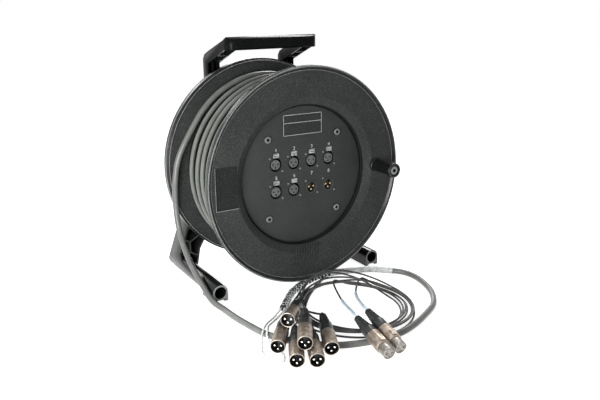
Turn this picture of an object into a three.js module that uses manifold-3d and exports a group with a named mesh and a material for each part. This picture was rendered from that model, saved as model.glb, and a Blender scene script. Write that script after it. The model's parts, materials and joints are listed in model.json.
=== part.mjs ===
// Multicore cable drum: a spinning drum on a rear frame, with its cable, fan-out and plugs.
// Millimetres, +Z up. The drum's axle runs along Y and the panel faces -Y.
// Pieces of the drum are drawn about the axle, with Y counted back from the front flange's face,
// and moved into the object's frame by one shift at the end.
import * as THREE from 'three';
import { mergeVertices } from 'three/addons/utils/BufferGeometryUtils.js';
import Module from 'manifold-3d';

const wasm = await Module();
wasm.setup();

// Driving sizes
const drumRadius = 155;
const drumWidth = 153;
const drumLift = 12.5;
const frameDepth = 35;
const knobReach = 47;
const handleRise = 35;
const cableRadius = 4.2;
const tailRadius = 1.4;
const clearance = 0.3;

// Places shared by many pieces
const axleHeight = drumRadius + drumLift;
const frameClearance = 2;
const frameFront = drumWidth + frameClearance;
const frameBack = frameFront + frameDepth;
const centreShift = (frameBack - knobReach) / 2;
const floorZ = -axleHeight;
const skin = 3.5;
const wall = 3;
const over = 1;
const flangeSides = 44;
const coreSides = 24;
const rodSides = 14;
const smallSides = 12;
const pinSides = 6;
const weldDistance = 0.0001;
const quarterTurn = Math.PI / 2;
const halfTurn = Math.PI;
const fullTurn = Math.PI * 2;
const degree = Math.PI / 180;

// Finishes as seen in the photograph
function finish(color, roughness, metalness) {
  return new THREE.MeshStandardMaterial({ color, roughness, metalness });
}

const grainedPlastic = () => finish(0x3a3c3b, 0.62, 0);
const glossPlastic = () => finish(0x141415, 0.3, 0);
const framePlastic = () => finish(0x2a2b2c, 0.5, 0);
const blackPlastic = () => finish(0x18181a, 0.5, 0);
const panelPaint = () => finish(0x3d403f, 0.55, 0.1);
const steel = () => finish(0xc4c6c8, 0.32, 1);
const insertPlastic = () => finish(0x6f7170, 0.55, 0);
const cableJacket = () => finish(0x5d5e5c, 0.5, 0);
const tailJacket = () => finish(0x2c2c2b, 0.5, 0);
const shellMetal = () => finish(0x84786c, 0.35, 1);
const bushPlastic = () => finish(0xd8d6cf, 0.5, 0);
const clearSleeve = () => finish(0xd9dcdc, 0.25, 0);
const wireNet = () => finish(0x8e8f8e, 0.45, 1);
const ropeWhite = () => finish(0xe6e7e6, 0.6, 0);

// Joins equal points and drops triangles that have collapsed to a line.
function tidy(geometry) {
  const bare = geometry.clone();
  bare.deleteAttribute('normal');
  bare.deleteAttribute('uv');
  const merged = mergeVertices(bare, weldDistance);
  const index = merged.index.array;
  const kept = [];
  for (let i = 0; i < index.length; i += 3) {
    const [a, b, c] = index.slice(i, i + 3);
    if (a !== b && b !== c && c !== a) kept.push(a, b, c);
  }
  merged.setIndex(kept);
  return merged;
}

// Turns the triangles so that they face out of the solid.
function outward(geometry) {
  const solid = tidy(geometry);
  const at = solid.attributes.position;
  const index = Array.from(solid.index.array);
  const [a, b, c] = [new THREE.Vector3(), new THREE.Vector3(), new THREE.Vector3()];
  let volume = 0;
  for (let i = 0; i < index.length; i += 3) {
    a.fromBufferAttribute(at, index[i]);
    b.fromBufferAttribute(at, index[i + 1]);
    c.fromBufferAttribute(at, index[i + 2]);
    volume += a.dot(b.cross(c));
  }
  if (volume < 0) {
    for (let i = 0; i < index.length; i += 3) [index[i], index[i + 1]] = [index[i + 1], index[i]];
    solid.setIndex(index);
  }
  return solid;
}

function toSolid(geometry) {
  const closed = outward(geometry);
  return new wasm.Manifold(new wasm.Mesh({
    numProp: 3,
    vertProperties: Float32Array.from(closed.attributes.position.array),
    triVerts: Uint32Array.from(closed.index.array),
  }));
}

function toGeometry(solid) {
  const mesh = solid.getMesh();
  const geometry = new THREE.BufferGeometry();
  geometry.setAttribute('position', new THREE.BufferAttribute(new Float32Array(mesh.vertProperties), 3));
  geometry.setIndex(Array.from(mesh.triVerts));
  return geometry;
}

function cut(base, tools) {
  return toGeometry(tools.reduce((solid, tool) => solid.subtract(toSolid(tool)), toSolid(base)));
}

function join([first, ...others]) {
  return toGeometry(others.reduce((solid, other) => solid.add(toSolid(other)), toSolid(first)));
}

function common([first, ...others]) {
  return toGeometry(others.reduce((solid, other) => solid.intersect(toSolid(other)), toSolid(first)));
}

// A solid of revolution about Y, from [radius, y] points.
function turned(profile, sides) {
  const points = profile.map(([radius, y]) => new THREE.Vector2(radius, y));
  if (profile[0][0] > 0) points.push(points[0].clone());
  return new THREE.LatheGeometry(points, sides);
}

function rod(radius, y0, y1, sides) {
  return turned([[0, y0], [radius, y0], [radius, y1], [0, y1]], sides);
}

function ring(inner, outer, y0, y1, sides) {
  return turned([[inner, y0], [outer, y0], [outer, y1], [inner, y1]], sides);
}

const moved = (geometry, x, y, z) => geometry.clone().translate(x, y, z);

function block(x0, x1, y0, y1, z0, z1) {
  const box = new THREE.BoxGeometry(x1 - x0, y1 - y0, z1 - z0);
  return box.translate((x0 + x1) / 2, (y0 + y1) / 2, (z0 + z1) / 2);
}

function prism(outline, depth) {
  const shape = new THREE.Shape(outline.map(([u, v]) => new THREE.Vector2(u, v)));
  return new THREE.ExtrudeGeometry(shape, { depth, bevelEnabled: false });
}

// Outlines are [y, z], [x, z] and [x, y] in turn.
function prismAlongX(outline, x0, x1) {
  const swap = new THREE.Matrix4().set(0, 0, 1, x0, 1, 0, 0, 0, 0, 1, 0, 0, 0, 0, 0, 1);
  return prism(outline, x1 - x0).applyMatrix4(swap);
}

function prismAlongY(outline, y0, y1) {
  const swap = new THREE.Matrix4().set(1, 0, 0, 0, 0, 0, 1, y0, 0, 1, 0, 0, 0, 0, 0, 1);
  return outward(prism(outline, y1 - y0).applyMatrix4(swap));
}

const prismAlongZ = (outline, z0, z1) => prism(outline, z1 - z0).translate(0, 0, z0);

const mirrored = (outline) => outline.concat(outline.map(([x, z]) => [-x, z]).reverse());

// Moves each edge of a closed outline in by a distance.
function inset(outline, distance) {
  const turn = Math.sign(THREE.ShapeUtils.area(outline.map(([u, v]) => new THREE.Vector2(u, v))));
  const lines = outline.map(([u, v], i) => {
    const [nextU, nextV] = outline[(i + 1) % outline.length];
    const length = Math.hypot(nextU - u, nextV - v);
    const normal = [(-(nextV - v) / length) * turn, ((nextU - u) / length) * turn];
    return { normal, reach: normal[0] * u + normal[1] * v + distance };
  });
  return lines.map((line, i) => {
    const before = lines[(i + lines.length - 1) % lines.length];
    const [a, b] = before.normal;
    const [c, d] = line.normal;
    const cross = a * d - b * c;
    return [(before.reach * d - line.reach * b) / cross, (line.reach * a - before.reach * c) / cross];
  });
}

const circle = (radius, sides, start = 0) => Array.from({ length: sides }, (_, i) => {
  const angle = start + (i / sides) * fullTurn;
  return [radius * Math.cos(angle), radius * Math.sin(angle)];
});

// A round tube along a smooth line through points.
function tube(points, radius, sides, steps) {
  const spots = points.map((point) => new THREE.Vector3(...point));
  const line = new THREE.CatmullRomCurve3(spots, false, 'centripetal');
  const section = circle(radius, sides, halfTurn / sides).map((point) => new THREE.Vector2(...point));
  const settings = { steps, bevelEnabled: false, extrudePath: line };
  return new THREE.ExtrudeGeometry(new THREE.Shape(section), settings);
}

// A wound tube from a list of rings, each a centre and two square directions.
function wound(rings, radius, sides) {
  const positions = [];
  const index = [];
  for (const { centre, out, up } of rings) {
    for (let side = 0; side < sides; side += 1) {
      const angle = (side / sides) * fullTurn;
      const point = centre.clone()
        .addScaledVector(out, radius * Math.cos(angle))
        .addScaledVector(up, radius * Math.sin(angle));
      positions.push(point.x, point.y, point.z);
    }
  }
  for (let step = 0; step + 1 < rings.length; step += 1) {
    for (let side = 0; side < sides; side += 1) {
      const a = step * sides + side;
      const b = step * sides + ((side + 1) % sides);
      index.push(a, b, a + sides, b, b + sides, a + sides);
    }
  }
  const last = (rings.length - 1) * sides;
  for (let side = 1; side + 1 < sides; side += 1) {
    index.push(0, side + 1, side, last, last + side, last + side + 1);
  }
  const geometry = new THREE.BufferGeometry();
  geometry.setAttribute('position', new THREE.Float32BufferAttribute(positions, 3));
  geometry.setIndex(index);
  return geometry;
}

// The least distance between the middles of strands that lie a good part of a turn apart.
function leastGap(rings, radius, stepsApart) {
  let least = Infinity;
  for (let i = 0; i < rings.length; i += 1) {
    for (let j = i + stepsApart; j < rings.length; j += 1) {
      least = Math.min(least, rings[i].centre.distanceTo(rings[j].centre));
    }
  }
  return least - radius * 2;
}

const group = new THREE.Group();
group.name = 'multicore_cable_drum';

function addFloor(name, geometry, material) {
  const solid = outward(geometry);
  solid.computeVertexNormals();
  const mesh = new THREE.Mesh(solid, material);
  mesh.name = name;
  group.add(mesh);
}

function addDrum(name, geometry, material) {
  addFloor(name, moved(geometry, 0, -centreShift, axleHeight), material);
}

// Front flange with a raised rim, a sunk middle, the ledge that the panel sits on and a shallow pocket
const rimWidth = 5.8;
const rimCrown = 3.8;
const rimProud = 3.5;
const rimRound = 1;
const flangePlate = 4.5;
const flangeBand = 43;
const recessLip = 10.5;
const mouthRadius = drumRadius - flangeBand;
const recessRadius = mouthRadius - recessLip;
const recessSlope = 8;
const panelDepth = 14.3;
const panelPlate = 2;
const panelMargin = 3;
const panelEdge = recessRadius - panelMargin;
const columnPitch = 29;
const rowPitch = 39.2;
const housingHalf = 7;
const housingHigh = 19.5;
const ledgeMargin = 1.1;
const connectorReach = Math.hypot(columnPitch * 1.5 + housingHalf, rowPitch / 2 + housingHigh);
const ledgeInner = connectorReach + ledgeMargin;
const ledgePlate = 4;
const panelBack = panelDepth + panelPlate;
const ledgeFront = panelBack + clearance;
const ledgeBack = ledgeFront + ledgePlate;
const tubRadius = recessRadius + wall;
const slopeBack = recessSlope + flangePlate;
const pocketMargin = 13;
const pocketOverlap = 3;
const pocketLeft = drumRadius - pocketMargin;
const pocketRight = mouthRadius - pocketOverlap;
const pocketHeight = 59;
const pocketMiddle = 1;
const pocketDepth = 2;
const knobOffset = 5;
const knobX = mouthRadius + knobOffset;
const knobZ = 3;
const boltRadius = 4;
const knobSeat = 9.5;
const knobSeatRadius = 9.5;
const screwCircleShare = 0.45;
const screwCircle = ledgeInner + (panelEdge - ledgeInner) * screwCircleShare;
const panelScrewSpan = screwCircle / Math.SQRT2;
const screwShank = 2.2;
const screwHole = screwShank + clearance;
const cornerShares = [[-1, 1], [1, 1], [-1, -1], [1, -1]];
const screwSpots = cornerShares.map(([x, z]) => [x * panelScrewSpan, z * panelScrewSpan]);

const frontProfile = [
  [ledgeInner, ledgeFront],
  [recessRadius, ledgeFront],
  [recessRadius, recessSlope],
  [mouthRadius, 0],
  [drumRadius - rimWidth, 0],
  [drumRadius - rimCrown, -rimProud],
  [drumRadius - rimRound, -rimProud],
  [drumRadius, rimRound - rimProud],
  [drumRadius, flangePlate],
  [mouthRadius + flangePlate, flangePlate],
  [tubRadius, slopeBack],
  [tubRadius, ledgeBack],
  [ledgeInner, ledgeBack],
];
const pocketLow = pocketMiddle - pocketHeight / 2;
const pocket = block(-pocketLeft, -pocketRight, -over, pocketDepth, pocketLow, pocketLow + pocketHeight);
const knobPad = moved(rod(knobSeatRadius, over, knobSeat, rodSides), knobX, 0, knobZ);
const boltHole = moved(rod(boltRadius + clearance, -over, knobSeat + over, rodSides), knobX, 0, knobZ);
const ledgeHole = rod(screwHole, panelBack, ledgeBack + over, smallSides);
const ledgeHoles = screwSpots.map(([x, z]) => moved(ledgeHole, x, 0, z));
const frontBlank = join([turned(frontProfile, flangeSides), knobPad]);
addDrum('front_flange', cut(frontBlank, [pocket, boltHole, ...ledgeHoles]), grainedPlastic());

// Axle, its retainer and the bushes that the drum turns on
const axleRadius = 12.5;
const stubRadius = 6;
const nutThick = 9;
const washerThick = 2.5;
const washerRadius = 19;
const bushWall = 4;
const bushLength = 14;
const hubWall = 4.5;
const hubFront = 72;
const collarRadius = 20;
const bossRadius = 30;
const hubRearClearance = 1;
const backPlateFront = drumWidth - 13.5;
const backPlateBack = backPlateFront + flangePlate;
const bushOuter = axleRadius + clearance + bushWall;
const hubBore = bushOuter + clearance;
const hubOuter = hubBore + hubWall;
const hubRear = drumWidth - hubRearClearance;
const shoulder = hubFront - clearance;
const washerFront = shoulder - clearance - washerThick;
const nutFront = washerFront - clearance - nutThick;
const stubFront = nutFront - wall;
const axleEnd = frameBack - skin - clearance;
const axleProfile = [
  [0, stubFront],
  [stubRadius, stubFront],
  [stubRadius, shoulder],
  [axleRadius, shoulder],
  [axleRadius, hubRear + clearance],
  [collarRadius, hubRear + clearance],
  [collarRadius, frameFront - clearance],
  [axleRadius, frameFront - clearance],
  [axleRadius, axleEnd],
  [0, axleEnd],
];
const stubHole = stubRadius + clearance;
addDrum('axle', turned(axleProfile, coreSides), steel());
const washer = ring(stubHole, washerRadius, washerFront, washerFront + washerThick, coreSides);
addDrum('axle_washer', washer, steel());
const nutRadius = 11;
const nutBlank = rod(nutRadius, nutFront, nutFront + nutThick, pinSides);
addDrum('axle_nut', cut(nutBlank, [rod(stubHole, nutFront - over, shoulder, coreSides)]), steel());

// Back flange with its hub and the ribs on its rear side
const rimChamfer = 5;
const rimChamferDepth = 1.5;
const backRimWall = 3;
const ribCount = 8;
const ribThick = 3;
const bushSeat = hubFront + bushLength;
const backProfile = [
  [hubBore, hubFront],
  [hubOuter, hubFront],
  [hubOuter, backPlateFront],
  [drumRadius - rimChamfer, backPlateFront],
  [drumRadius, backPlateFront + rimChamferDepth],
  [drumRadius, drumWidth],
  [drumRadius - backRimWall, drumWidth],
  [drumRadius - backRimWall, backPlateBack],
  [hubOuter + hubWall, backPlateBack],
  [hubOuter + hubWall, hubRear],
  [hubBore, hubRear],
];
const ribBack = hubRear - over;
const ribs = Array.from({ length: ribCount }, (_, i) => {
  const rib = block(hubOuter, drumRadius - over, backPlateBack - over, ribBack, -ribThick / 2, ribThick / 2);
  return rib.rotateY((i / ribCount) * fullTurn);
});
addDrum('back_flange', join([turned(backProfile, flangeSides), ...ribs]), grainedPlastic());
const bushInner = axleRadius + clearance;
addDrum('front_bush', ring(bushInner, bushOuter, hubFront, bushSeat, coreSides), bushPlastic());
addDrum('rear_bush', ring(bushInner, bushOuter, hubRear - bushLength, hubRear, coreSides), bushPlastic());

// Barrel between the flanges
const barrelInner = tubRadius + clearance;
const barrelOuter = barrelInner + wall;
const barrelFront = slopeBack + clearance;
const barrelBack = backPlateFront - clearance;
addDrum('drum_core', ring(barrelInner, barrelOuter, barrelFront, barrelBack, flangeSides), grainedPlastic());

// Panel with its eight connector places, four over four
const socketRadius = 9.65;
const socketBodyRadius = 11.6;
const latchHalf = 4.75;
const latchLow = 10.1;
const latchHigh = 16.9;
const latchFront = 12.3;
const latchBack = 22;
const latchTravel = 1.8;
const latchSlack = 0.7;
const slotLow = 9;
const slotHalf = latchHalf + clearance;
const slotHigh = latchHigh + clearance;
const columnShares = [-1.5, -0.5, 0.5, 1.5];
const rowShares = [0.5, -0.5];
const places = rowShares.flatMap((row) => (
  columnShares.map((column) => [column * columnPitch, row * rowPitch])));
const socketCount = 6;

const panelHole = rod(socketRadius, panelDepth - over, ledgeFront, rodSides);
const panelHoles = places.map(([x, z]) => moved(panelHole, x, 0, z));
const panelSlot = block(-slotHalf, slotHalf, panelDepth - over, ledgeFront, slotLow, slotHigh);
const panelSlots = places.slice(0, socketCount).map(([x, z]) => moved(panelSlot, x, 0, z));
const panelScrewHole = rod(screwHole, panelDepth - over, ledgeFront, smallSides);
const panelScrewHoles = screwSpots.map(([x, z]) => moved(panelScrewHole, x, 0, z));
const plate = rod(panelEdge, panelDepth, panelBack, flangeSides);
addDrum('connector_panel', cut(plate, [...panelHoles, ...panelSlots, ...panelScrewHoles]), panelPaint());

// Panel screws with a hexagon socket
const screwHead = 4.75;
const screwHeadThick = 2.4;
const screwSocket = 2.3;
const screwSocketDepth = 1.4;
const screwEnd = ledgeBack + flangePlate;
const headBack = panelDepth - clearance;
const headFront = headBack - screwHeadThick;
const screwProfile = [
  [0, headFront],
  [screwHead, headFront],
  [screwHead, headBack],
  [screwShank, headBack],
  [screwShank, screwEnd],
  [0, screwEnd],
];
const screwDriveHole = rod(screwSocket, headFront - over, headFront + screwSocketDepth, pinSides);
const screw = cut(turned(screwProfile, smallSides), [screwDriveHole]);
screwSpots.forEach(([x, z], i) => addDrum(`panel_screw_${i + 1}`, moved(screw, x, 0, z), steel()));

// Panel connectors: six sockets with a push latch, two with pins
const insertRadius = 7.85;
const insertFront = 14.8;
const annulusFloor = 28;
const bodyBack = 34;
const contactRadius = 1.5;
const contactDepth = 9;
const contactSpread = 3.8;
const contactRise = 0.6;
const contactDrop = 4;
const contacts = [[-contactSpread, contactRise], [contactSpread, contactRise], [0, -contactDrop]];
const bodyFront = ledgeFront;
const socketProfile = [
  [0, insertFront],
  [insertRadius, insertFront],
  [insertRadius, annulusFloor],
  [socketRadius, annulusFloor],
  [socketRadius, bodyFront],
  [socketBodyRadius, bodyFront],
  [socketBodyRadius, bodyBack],
  [0, bodyBack],
];
const housing = cut(
  block(-housingHalf, housingHalf, bodyFront, bodyBack, 0, housingHigh),
  [rod(insertRadius + over, bodyFront - over, bodyBack + over, smallSides)],
);
const channelEnd = latchBack + latchTravel + latchSlack;
const channel = block(-slotHalf, slotHalf, bodyFront - over, channelEnd, slotLow, slotHigh);
const contactHoles = contacts.map(([x, z]) => (
  moved(rod(contactRadius, insertFront - over, insertFront + contactDepth, pinSides), x, 0, z)));
const socketBody = cut(join([turned(socketProfile, rodSides), housing]), [channel, ...contactHoles]);
const cupRadius = 7.75;
const cupFloor = 26;
const cupRim = socketRadius - clearance;
const cupFront = 13.6;
const pinRadius = 1.2;
const pinFront = 15.5;
const cupProfile = [
  [0, cupFloor],
  [cupRadius, cupFloor],
  [cupRadius, cupFront],
  [cupRim, cupFront],
  [cupRim, bodyFront],
  [socketBodyRadius, bodyFront],
  [socketBodyRadius, bodyBack],
  [0, bodyBack],
];
const cupPin = rod(pinRadius, pinFront, cupFloor + over, pinSides);
const cupPins = contacts.map(([x, z]) => moved(cupPin, -x, 0, z));
const cupBody = join([turned(cupProfile, rodSides), ...cupPins]);
const latchTab = block(-latchHalf, latchHalf, latchFront, latchBack, latchLow, latchHigh);
places.forEach(([x, z], i) => {
  const name = i < socketCount ? `panel_socket_${i + 1}` : `panel_pins_${i + 1}`;
  addDrum(name, moved(i < socketCount ? socketBody : cupBody, x, 0, z), insertPlastic());
  if (i < socketCount) addDrum(`socket_latch_${i + 1}`, moved(latchTab, x, 0, z), steel());
});

// Turning knob on its own bolt
const knobBase = 10;
const knobBaseThick = 3.5;
const knobStep = 4.5;
const knobBody = 9;
const knobFlareStart = 37;
const knobFlareEnd = 41;
const knobCap = 10.8;
const knobCapEdge = 46;
const knobRecess = 7.8;
const knobRecessDepth = 4.5;
const boltHead = 6;
const boltHeadThick = 3.2;
const knobFloor = knobRecessDepth - knobReach;
const boltHeadBack = knobFloor - clearance;
const boltHeadFront = boltHeadBack - boltHeadThick;
const knobNutThick = 4;
const knobNutRadius = 7.5;
const knobNutFront = knobSeat + clearance;
const knobNutBack = knobNutFront + knobNutThick;
const boltEnd = knobNutBack + clearance;
const knobProfile = [
  [boltRadius + clearance, -clearance],
  [knobBase, -clearance],
  [knobBase, -knobBaseThick],
  [knobBody, -knobStep],
  [knobBody, -knobFlareStart],
  [knobCap, -knobFlareEnd],
  [knobCap, -knobCapEdge],
  [knobBase, -knobReach],
  [knobRecess, -knobReach],
  [knobRecess, knobFloor],
  [boltRadius + clearance, knobFloor],
];
const knobBoltProfile = [
  [0, boltHeadFront],
  [boltHead, boltHeadFront],
  [boltHead, boltHeadBack],
  [boltRadius, boltHeadBack],
  [boltRadius, boltEnd],
  [0, boltEnd],
];
addDrum('crank_knob', moved(turned(knobProfile, rodSides), knobX, 0, knobZ), blackPlastic());
addDrum('knob_bolt', moved(turned(knobBoltProfile, rodSides), knobX, 0, knobZ), steel());
const knobNut = cut(
  rod(knobNutRadius, knobNutFront, knobNutBack, pinSides),
  [rod(boltRadius + clearance, knobNutFront - over, knobNutBack + over, rodSides)],
);
addDrum('knob_nut', moved(knobNut, knobX, 0, knobZ), steel());

// Cable on the drum: a plain core for the lower layers and one outer layer wound over it
const coreRiseShare = 0.406;
const coreRise = (drumRadius - barrelOuter) * coreRiseShare;
const coreFront = boltEnd + clearance;
const windingLoops = 5;
const windingPitch = 18.4;
const windingStart = 22;
const windingStartTurn = 75 * degree;
const loopSteps = 24;
const loopSides = 6;
const coreRadius = barrelOuter + coreRise;
const strandRadius = coreRadius + clearance + cableRadius;
const coreInner = (barrelOuter + clearance) / Math.cos(halfTurn / coreSides);
const windingCore = ring(coreInner, coreRadius, coreFront, barrelBack - clearance, coreSides);
addDrum('winding_core', windingCore, cableJacket());

const onDrum = (radius, angle, y) => new THREE.Vector3(radius * Math.cos(angle), y, radius * Math.sin(angle));
const windingRings = [];
for (let step = 0; step <= windingLoops * loopSteps; step += 1) {
  const angle = windingStartTurn + (step / loopSteps) * fullTurn;
  const y = windingStart + (step / loopSteps) * windingPitch;
  windingRings.push({
    centre: onDrum(strandRadius, angle, y),
    out: onDrum(1, angle, 0),
    up: new THREE.Vector3(0, 1, 0),
  });
}
// Each end runs straight for one diameter.
function straightEnds(rings, length) {
  const end = (ring, inner) => {
    const way = ring.centre.clone().sub(inner.centre).normalize();
    return { ...ring, centre: ring.centre.clone().addScaledVector(way, length) };
  };
  return [end(rings[0], rings[1]), ...rings, end(rings.at(-1), rings.at(-2))];
}
const windingLine = straightEnds(windingRings, cableRadius * 2);
addDrum('cable_winding', wound(windingLine, cableRadius, loopSides), cableJacket());
console.log('least gap of the winding', leastGap(windingLine, cableRadius, loopSteps / 2).toFixed(2));

// Feet: round tubes with a cap at the front, standing on skirts
const footShare = 0.85;
const footX = drumRadius * footShare;
const footRadius = 11.4;
const footBore = 8.75;
const footHeight = 13.6;
const footFront = 21.3;
const notchHalf = 6;
const notchHeight = 2.4;
const footSteps = 12;
const footCap = 36;
const footZ = floorZ + footHeight;
const footDome = (radius, low) => [
  [radius, low],
  ...Array.from({ length: footSteps + 1 }, (_, i) => {
    const angle = (i / footSteps) * halfTurn;
    return [radius * Math.cos(angle), footZ + radius * Math.sin(angle)];
  }),
  [-radius, low],
];
const footBlank = prismAlongY(footDome(footRadius, floorZ), footFront, frameBack);
const footTube = moved(rod(footRadius, footFront - over, frameBack + over, footSteps * 2), 0, 0, footZ);
const footCuts = [
  moved(rod(footBore, footFront - over, frameBack + over, rodSides), 0, 0, footZ),
  block(-notchHalf, notchHalf, footFront - over, frameBack + over, floorZ - over, floorZ + notchHeight),
];
// Behind the cap at the front, the outer side stays round
const footAt = (side) => {
  const reach = side * (footRadius + over);
  const low = [footFront + footCap, frameBack + over, floorZ - over, footZ];
  const relief = cut(block(Math.min(0, reach), Math.max(0, reach), ...low), [footTube]);
  return moved(cut(footBlank, [...footCuts, relief]), side * footX, 0, 0);
};
addDrum('left_foot', footAt(-1), framePlastic());
addDrum('right_foot', footAt(1), framePlastic());

// Rear frame: a skin at the back, an outer wall and hexagon cells that open to the front
const handleHalf = 74.7;
const shoulderZ = 42;
const frameTop = 92;
const archInset = 23;
const archSteps = 10;
const crossDepth = 40;
const legLift = 3.5;
const gussetHeight = 30.5;
const gussetDip = 10;
const gussetBend = 23.2;
const gussetToe = 100;
const gussetKnee = 16;
const flangeClearance = 3.5;
const cellPitch = 30;
const cellWall = 2.6;
const legOuter = footX + footRadius - clearance;
const legKneeZ = footZ + wall;
const archHalf = footX - archInset;
const legBottom = floorZ + legLift;
const archTop = -(bossRadius + crossDepth);
const arch = Array.from({ length: archSteps + 1 }, (_, i) => {
  const angle = (i / archSteps) * halfTurn;
  return [archHalf * Math.cos(angle), legBottom + (archTop - legBottom) * Math.sin(angle)];
});
const frameOutline = [
  [handleHalf, frameTop],
  [handleHalf, shoulderZ],
  [legOuter, legKneeZ],
  [legOuter, legBottom],
  ...arch,
  [-legOuter, legBottom],
  [-legOuter, legKneeZ],
  [-handleHalf, shoulderZ],
  [-handleHalf, frameTop],
];
const gussetSide = [
  [frameFront + over, floorZ + gussetHeight],
  [frameFront - gussetDip, floorZ + gussetBend],
  [gussetToe, floorZ + gussetKnee],
  [gussetToe, legBottom],
  [frameFront + over, legBottom],
];
const flangeRoom = rod(drumRadius + flangeClearance, -over, frameFront, flangeSides);
const gussetInner = mirrored([
  [handleHalf - wall, shoulderZ],
  [legOuter - wall, legKneeZ],
  [legOuter - wall, legBottom - over],
]);
const gussetRoom = prismAlongY(gussetInner, gussetToe - over * 2, frameFront);
const gussets = cut(common([
  prismAlongY(frameOutline, gussetToe - over, frameFront + over),
  prismAlongX(gussetSide, -legOuter, legOuter),
]), [flangeRoom, gussetRoom]);
const frameBlank = join([prismAlongY(frameOutline, frameFront, frameBack), gussets]);

// Hexagon cells inside the wall, clear of the axle's boss and of the feet
const innerOutline = inset(frameOutline, wall);
const skinFront = frameBack - skin;
const rowStep = cellPitch * Math.sin(quarterTurn * 2 / 3);
const cellRadius = (cellPitch - cellWall) / 2 / Math.cos(halfTurn / 6);
const cells = [];
const cellRows = Math.ceil(axleHeight / rowStep);
const cellColumns = Math.ceil(legOuter / cellPitch);
for (let row = -cellRows; row <= cellRows; row += 1) {
  for (let column = -cellColumns; column <= cellColumns; column += 1) {
    const x = (column + (row % 2 === 0 ? 0 : 0.5)) * cellPitch;
    const z = row * rowStep;
    const inside = z > legBottom && z < frameTop && Math.abs(x) < legOuter;
    const hexagon = circle(cellRadius, pinSides, quarterTurn).map(([u, v]) => [u + x, v + z]);
    if (inside) cells.push(prismAlongY(hexagon, gussetToe - over, skinFront));
  }
}
const footRoomDome = footDome(footRadius + clearance, floorZ - over);
const footRoom = prismAlongY(footRoomDome, gussetToe - over, frameBack + over);
const footWallDome = footDome(footRadius + clearance + wall, floorZ - over);
const footWall = prismAlongY(footWallDome, gussetToe - over * 2, frameBack + over);
const boss = rod(bossRadius, frameFront, frameBack, coreSides);
const hollow = common([join(cells), prismAlongY(innerOutline, gussetToe - over, skinFront)]);
const hollows = cut(hollow, [
  rod(bossRadius, -over, frameBack, coreSides),
  moved(footWall, -footX, 0, 0),
  moved(footWall, footX, 0, 0),
]);
const frame = cut(join([cut(frameBlank, [hollows]), boss]), [
  rod(axleRadius + clearance, frameFront - over, skinFront, coreSides),
  moved(footRoom, -footX, 0, 0),
  moved(footRoom, footX, 0, 0),
]);
addDrum('back_frame', frame, framePlastic());

// Carry handle: a hollow grip, two arms that are open underneath and two posts that are open in front
const postSide = 20.4;
const postInset = 7.5;
const postDepth = 16;
const postShoulder = 2;
const elbowRound = 6;
const elbowRise = 7;
const elbowRun = 18.5;
const elbowCrest = 12;
const gripFront = 88;
const gripBack = 108;
const gripCrest = 98;
const gripShoulder = 106;
const shoulderDrop = 4.5;
const gripNose = 28;
const gripChin = 19;
const gripUnder = 16.5;
const gripHeel = 104;
const armDrop = 6.5;
const noseRise = 3;
const noseStep = 2;
const cornerRound = 15;
const cornerSteps = 5;
const ribStart = 20;
const ribStep = 22;
const handleRib = 2.4;
const windowHalf = handleHalf - postSide;
const postFront = frameFront + postInset;
const postBack = postFront + postDepth;
const postMiddle = windowHalf + postSide / 2;
const handleTop = drumRadius + handleRise;
const postFoot = frameTop + clearance;
const handleSide = [
  [postFront, postFoot],
  [postBack, postFoot],
  [postBack, drumRadius],
  [postBack - elbowRound, drumRadius + elbowRise],
  [postBack - elbowRun, drumRadius + elbowCrest],
  [gripShoulder, handleTop - shoulderDrop],
  [gripCrest, handleTop],
  [gripFront + noseStep, handleTop - noseRise],
  [gripFront, drumRadius + gripNose],
  [gripFront, drumRadius + gripChin],
  [gripFront + noseStep, drumRadius + gripUnder],
  [gripHeel, drumRadius + gripUnder],
  [postFront, drumRadius - armDrop],
];
const cornerAngles = Array.from({ length: cornerSteps + 1 }, (_, i) => (i / cornerSteps) * quarterTurn);
const planOutline = mirrored([
  [handleHalf, frameBack + over],
  ...cornerAngles.map((angle) => [
    handleHalf - cornerRound * (1 - Math.cos(angle)),
    gripFront + cornerRound * (1 - Math.sin(angle)),
  ]),
  [handleHalf - cornerRound, gripFront - over],
]);
const handleBlank = common([
  prismAlongX(handleSide, -handleHalf, handleHalf),
  prismAlongZ(planOutline, postFoot - over, handleTop + over),
]);
const handleWindow = block(
  -windowHalf, windowHalf, gripBack, frameBack + over, postFoot - over, handleTop + over);
const innerSide = [
  [postBack - wall, postFoot - over],
  [postBack - wall, drumRadius - postShoulder],
  [postBack - elbowRun, drumRadius + elbowCrest - wall],
  [gripShoulder, handleTop - shoulderDrop - wall],
  [gripFront + noseStep + wall, handleTop - noseRise - wall],
  [gripFront + wall, drumRadius + gripNose - wall],
  [gripFront + wall, drumRadius],
  [postFront - over, drumRadius - armDrop - postDepth],
  [postFront - over, postFoot - over],
];
const innerPlan = inset(planOutline, wall);
const handleRoom = common([
  prismAlongX(innerSide, -handleHalf, handleHalf),
  prismAlongZ(innerPlan, postFoot - over, handleTop + over),
]);
const armRibPlaces = [1, 2].map((n) => gripBack + n * ribStep);
const armRibs = armRibPlaces.map((y) => (
  block(-handleHalf, handleHalf, y - handleRib, y, drumRadius - armDrop, handleTop)));
const postRibs = [-postMiddle, postMiddle].map((x) => block(
  x - handleRib / 2, x + handleRib / 2,
  postFront + noseStep, frameBack + over,
  postFoot - over * 2, drumRadius));
const sides = [-1, 1].map((side) => {
  const inner = side * (windowHalf + wall);
  const outer = side * handleHalf;
  return block(
    Math.min(inner, outer), Math.max(inner, outer), gripFront, frameBack + over, postFoot - over, handleTop);
});
const armHollows = cut(common([handleRoom, join(sides)]), [...armRibs, ...postRibs]);
const gripReach = windowHalf + wall / 2;
const gripRibSpots = [-2, -1, 0, 1, 2].map((n) => n * ribStart);
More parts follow.
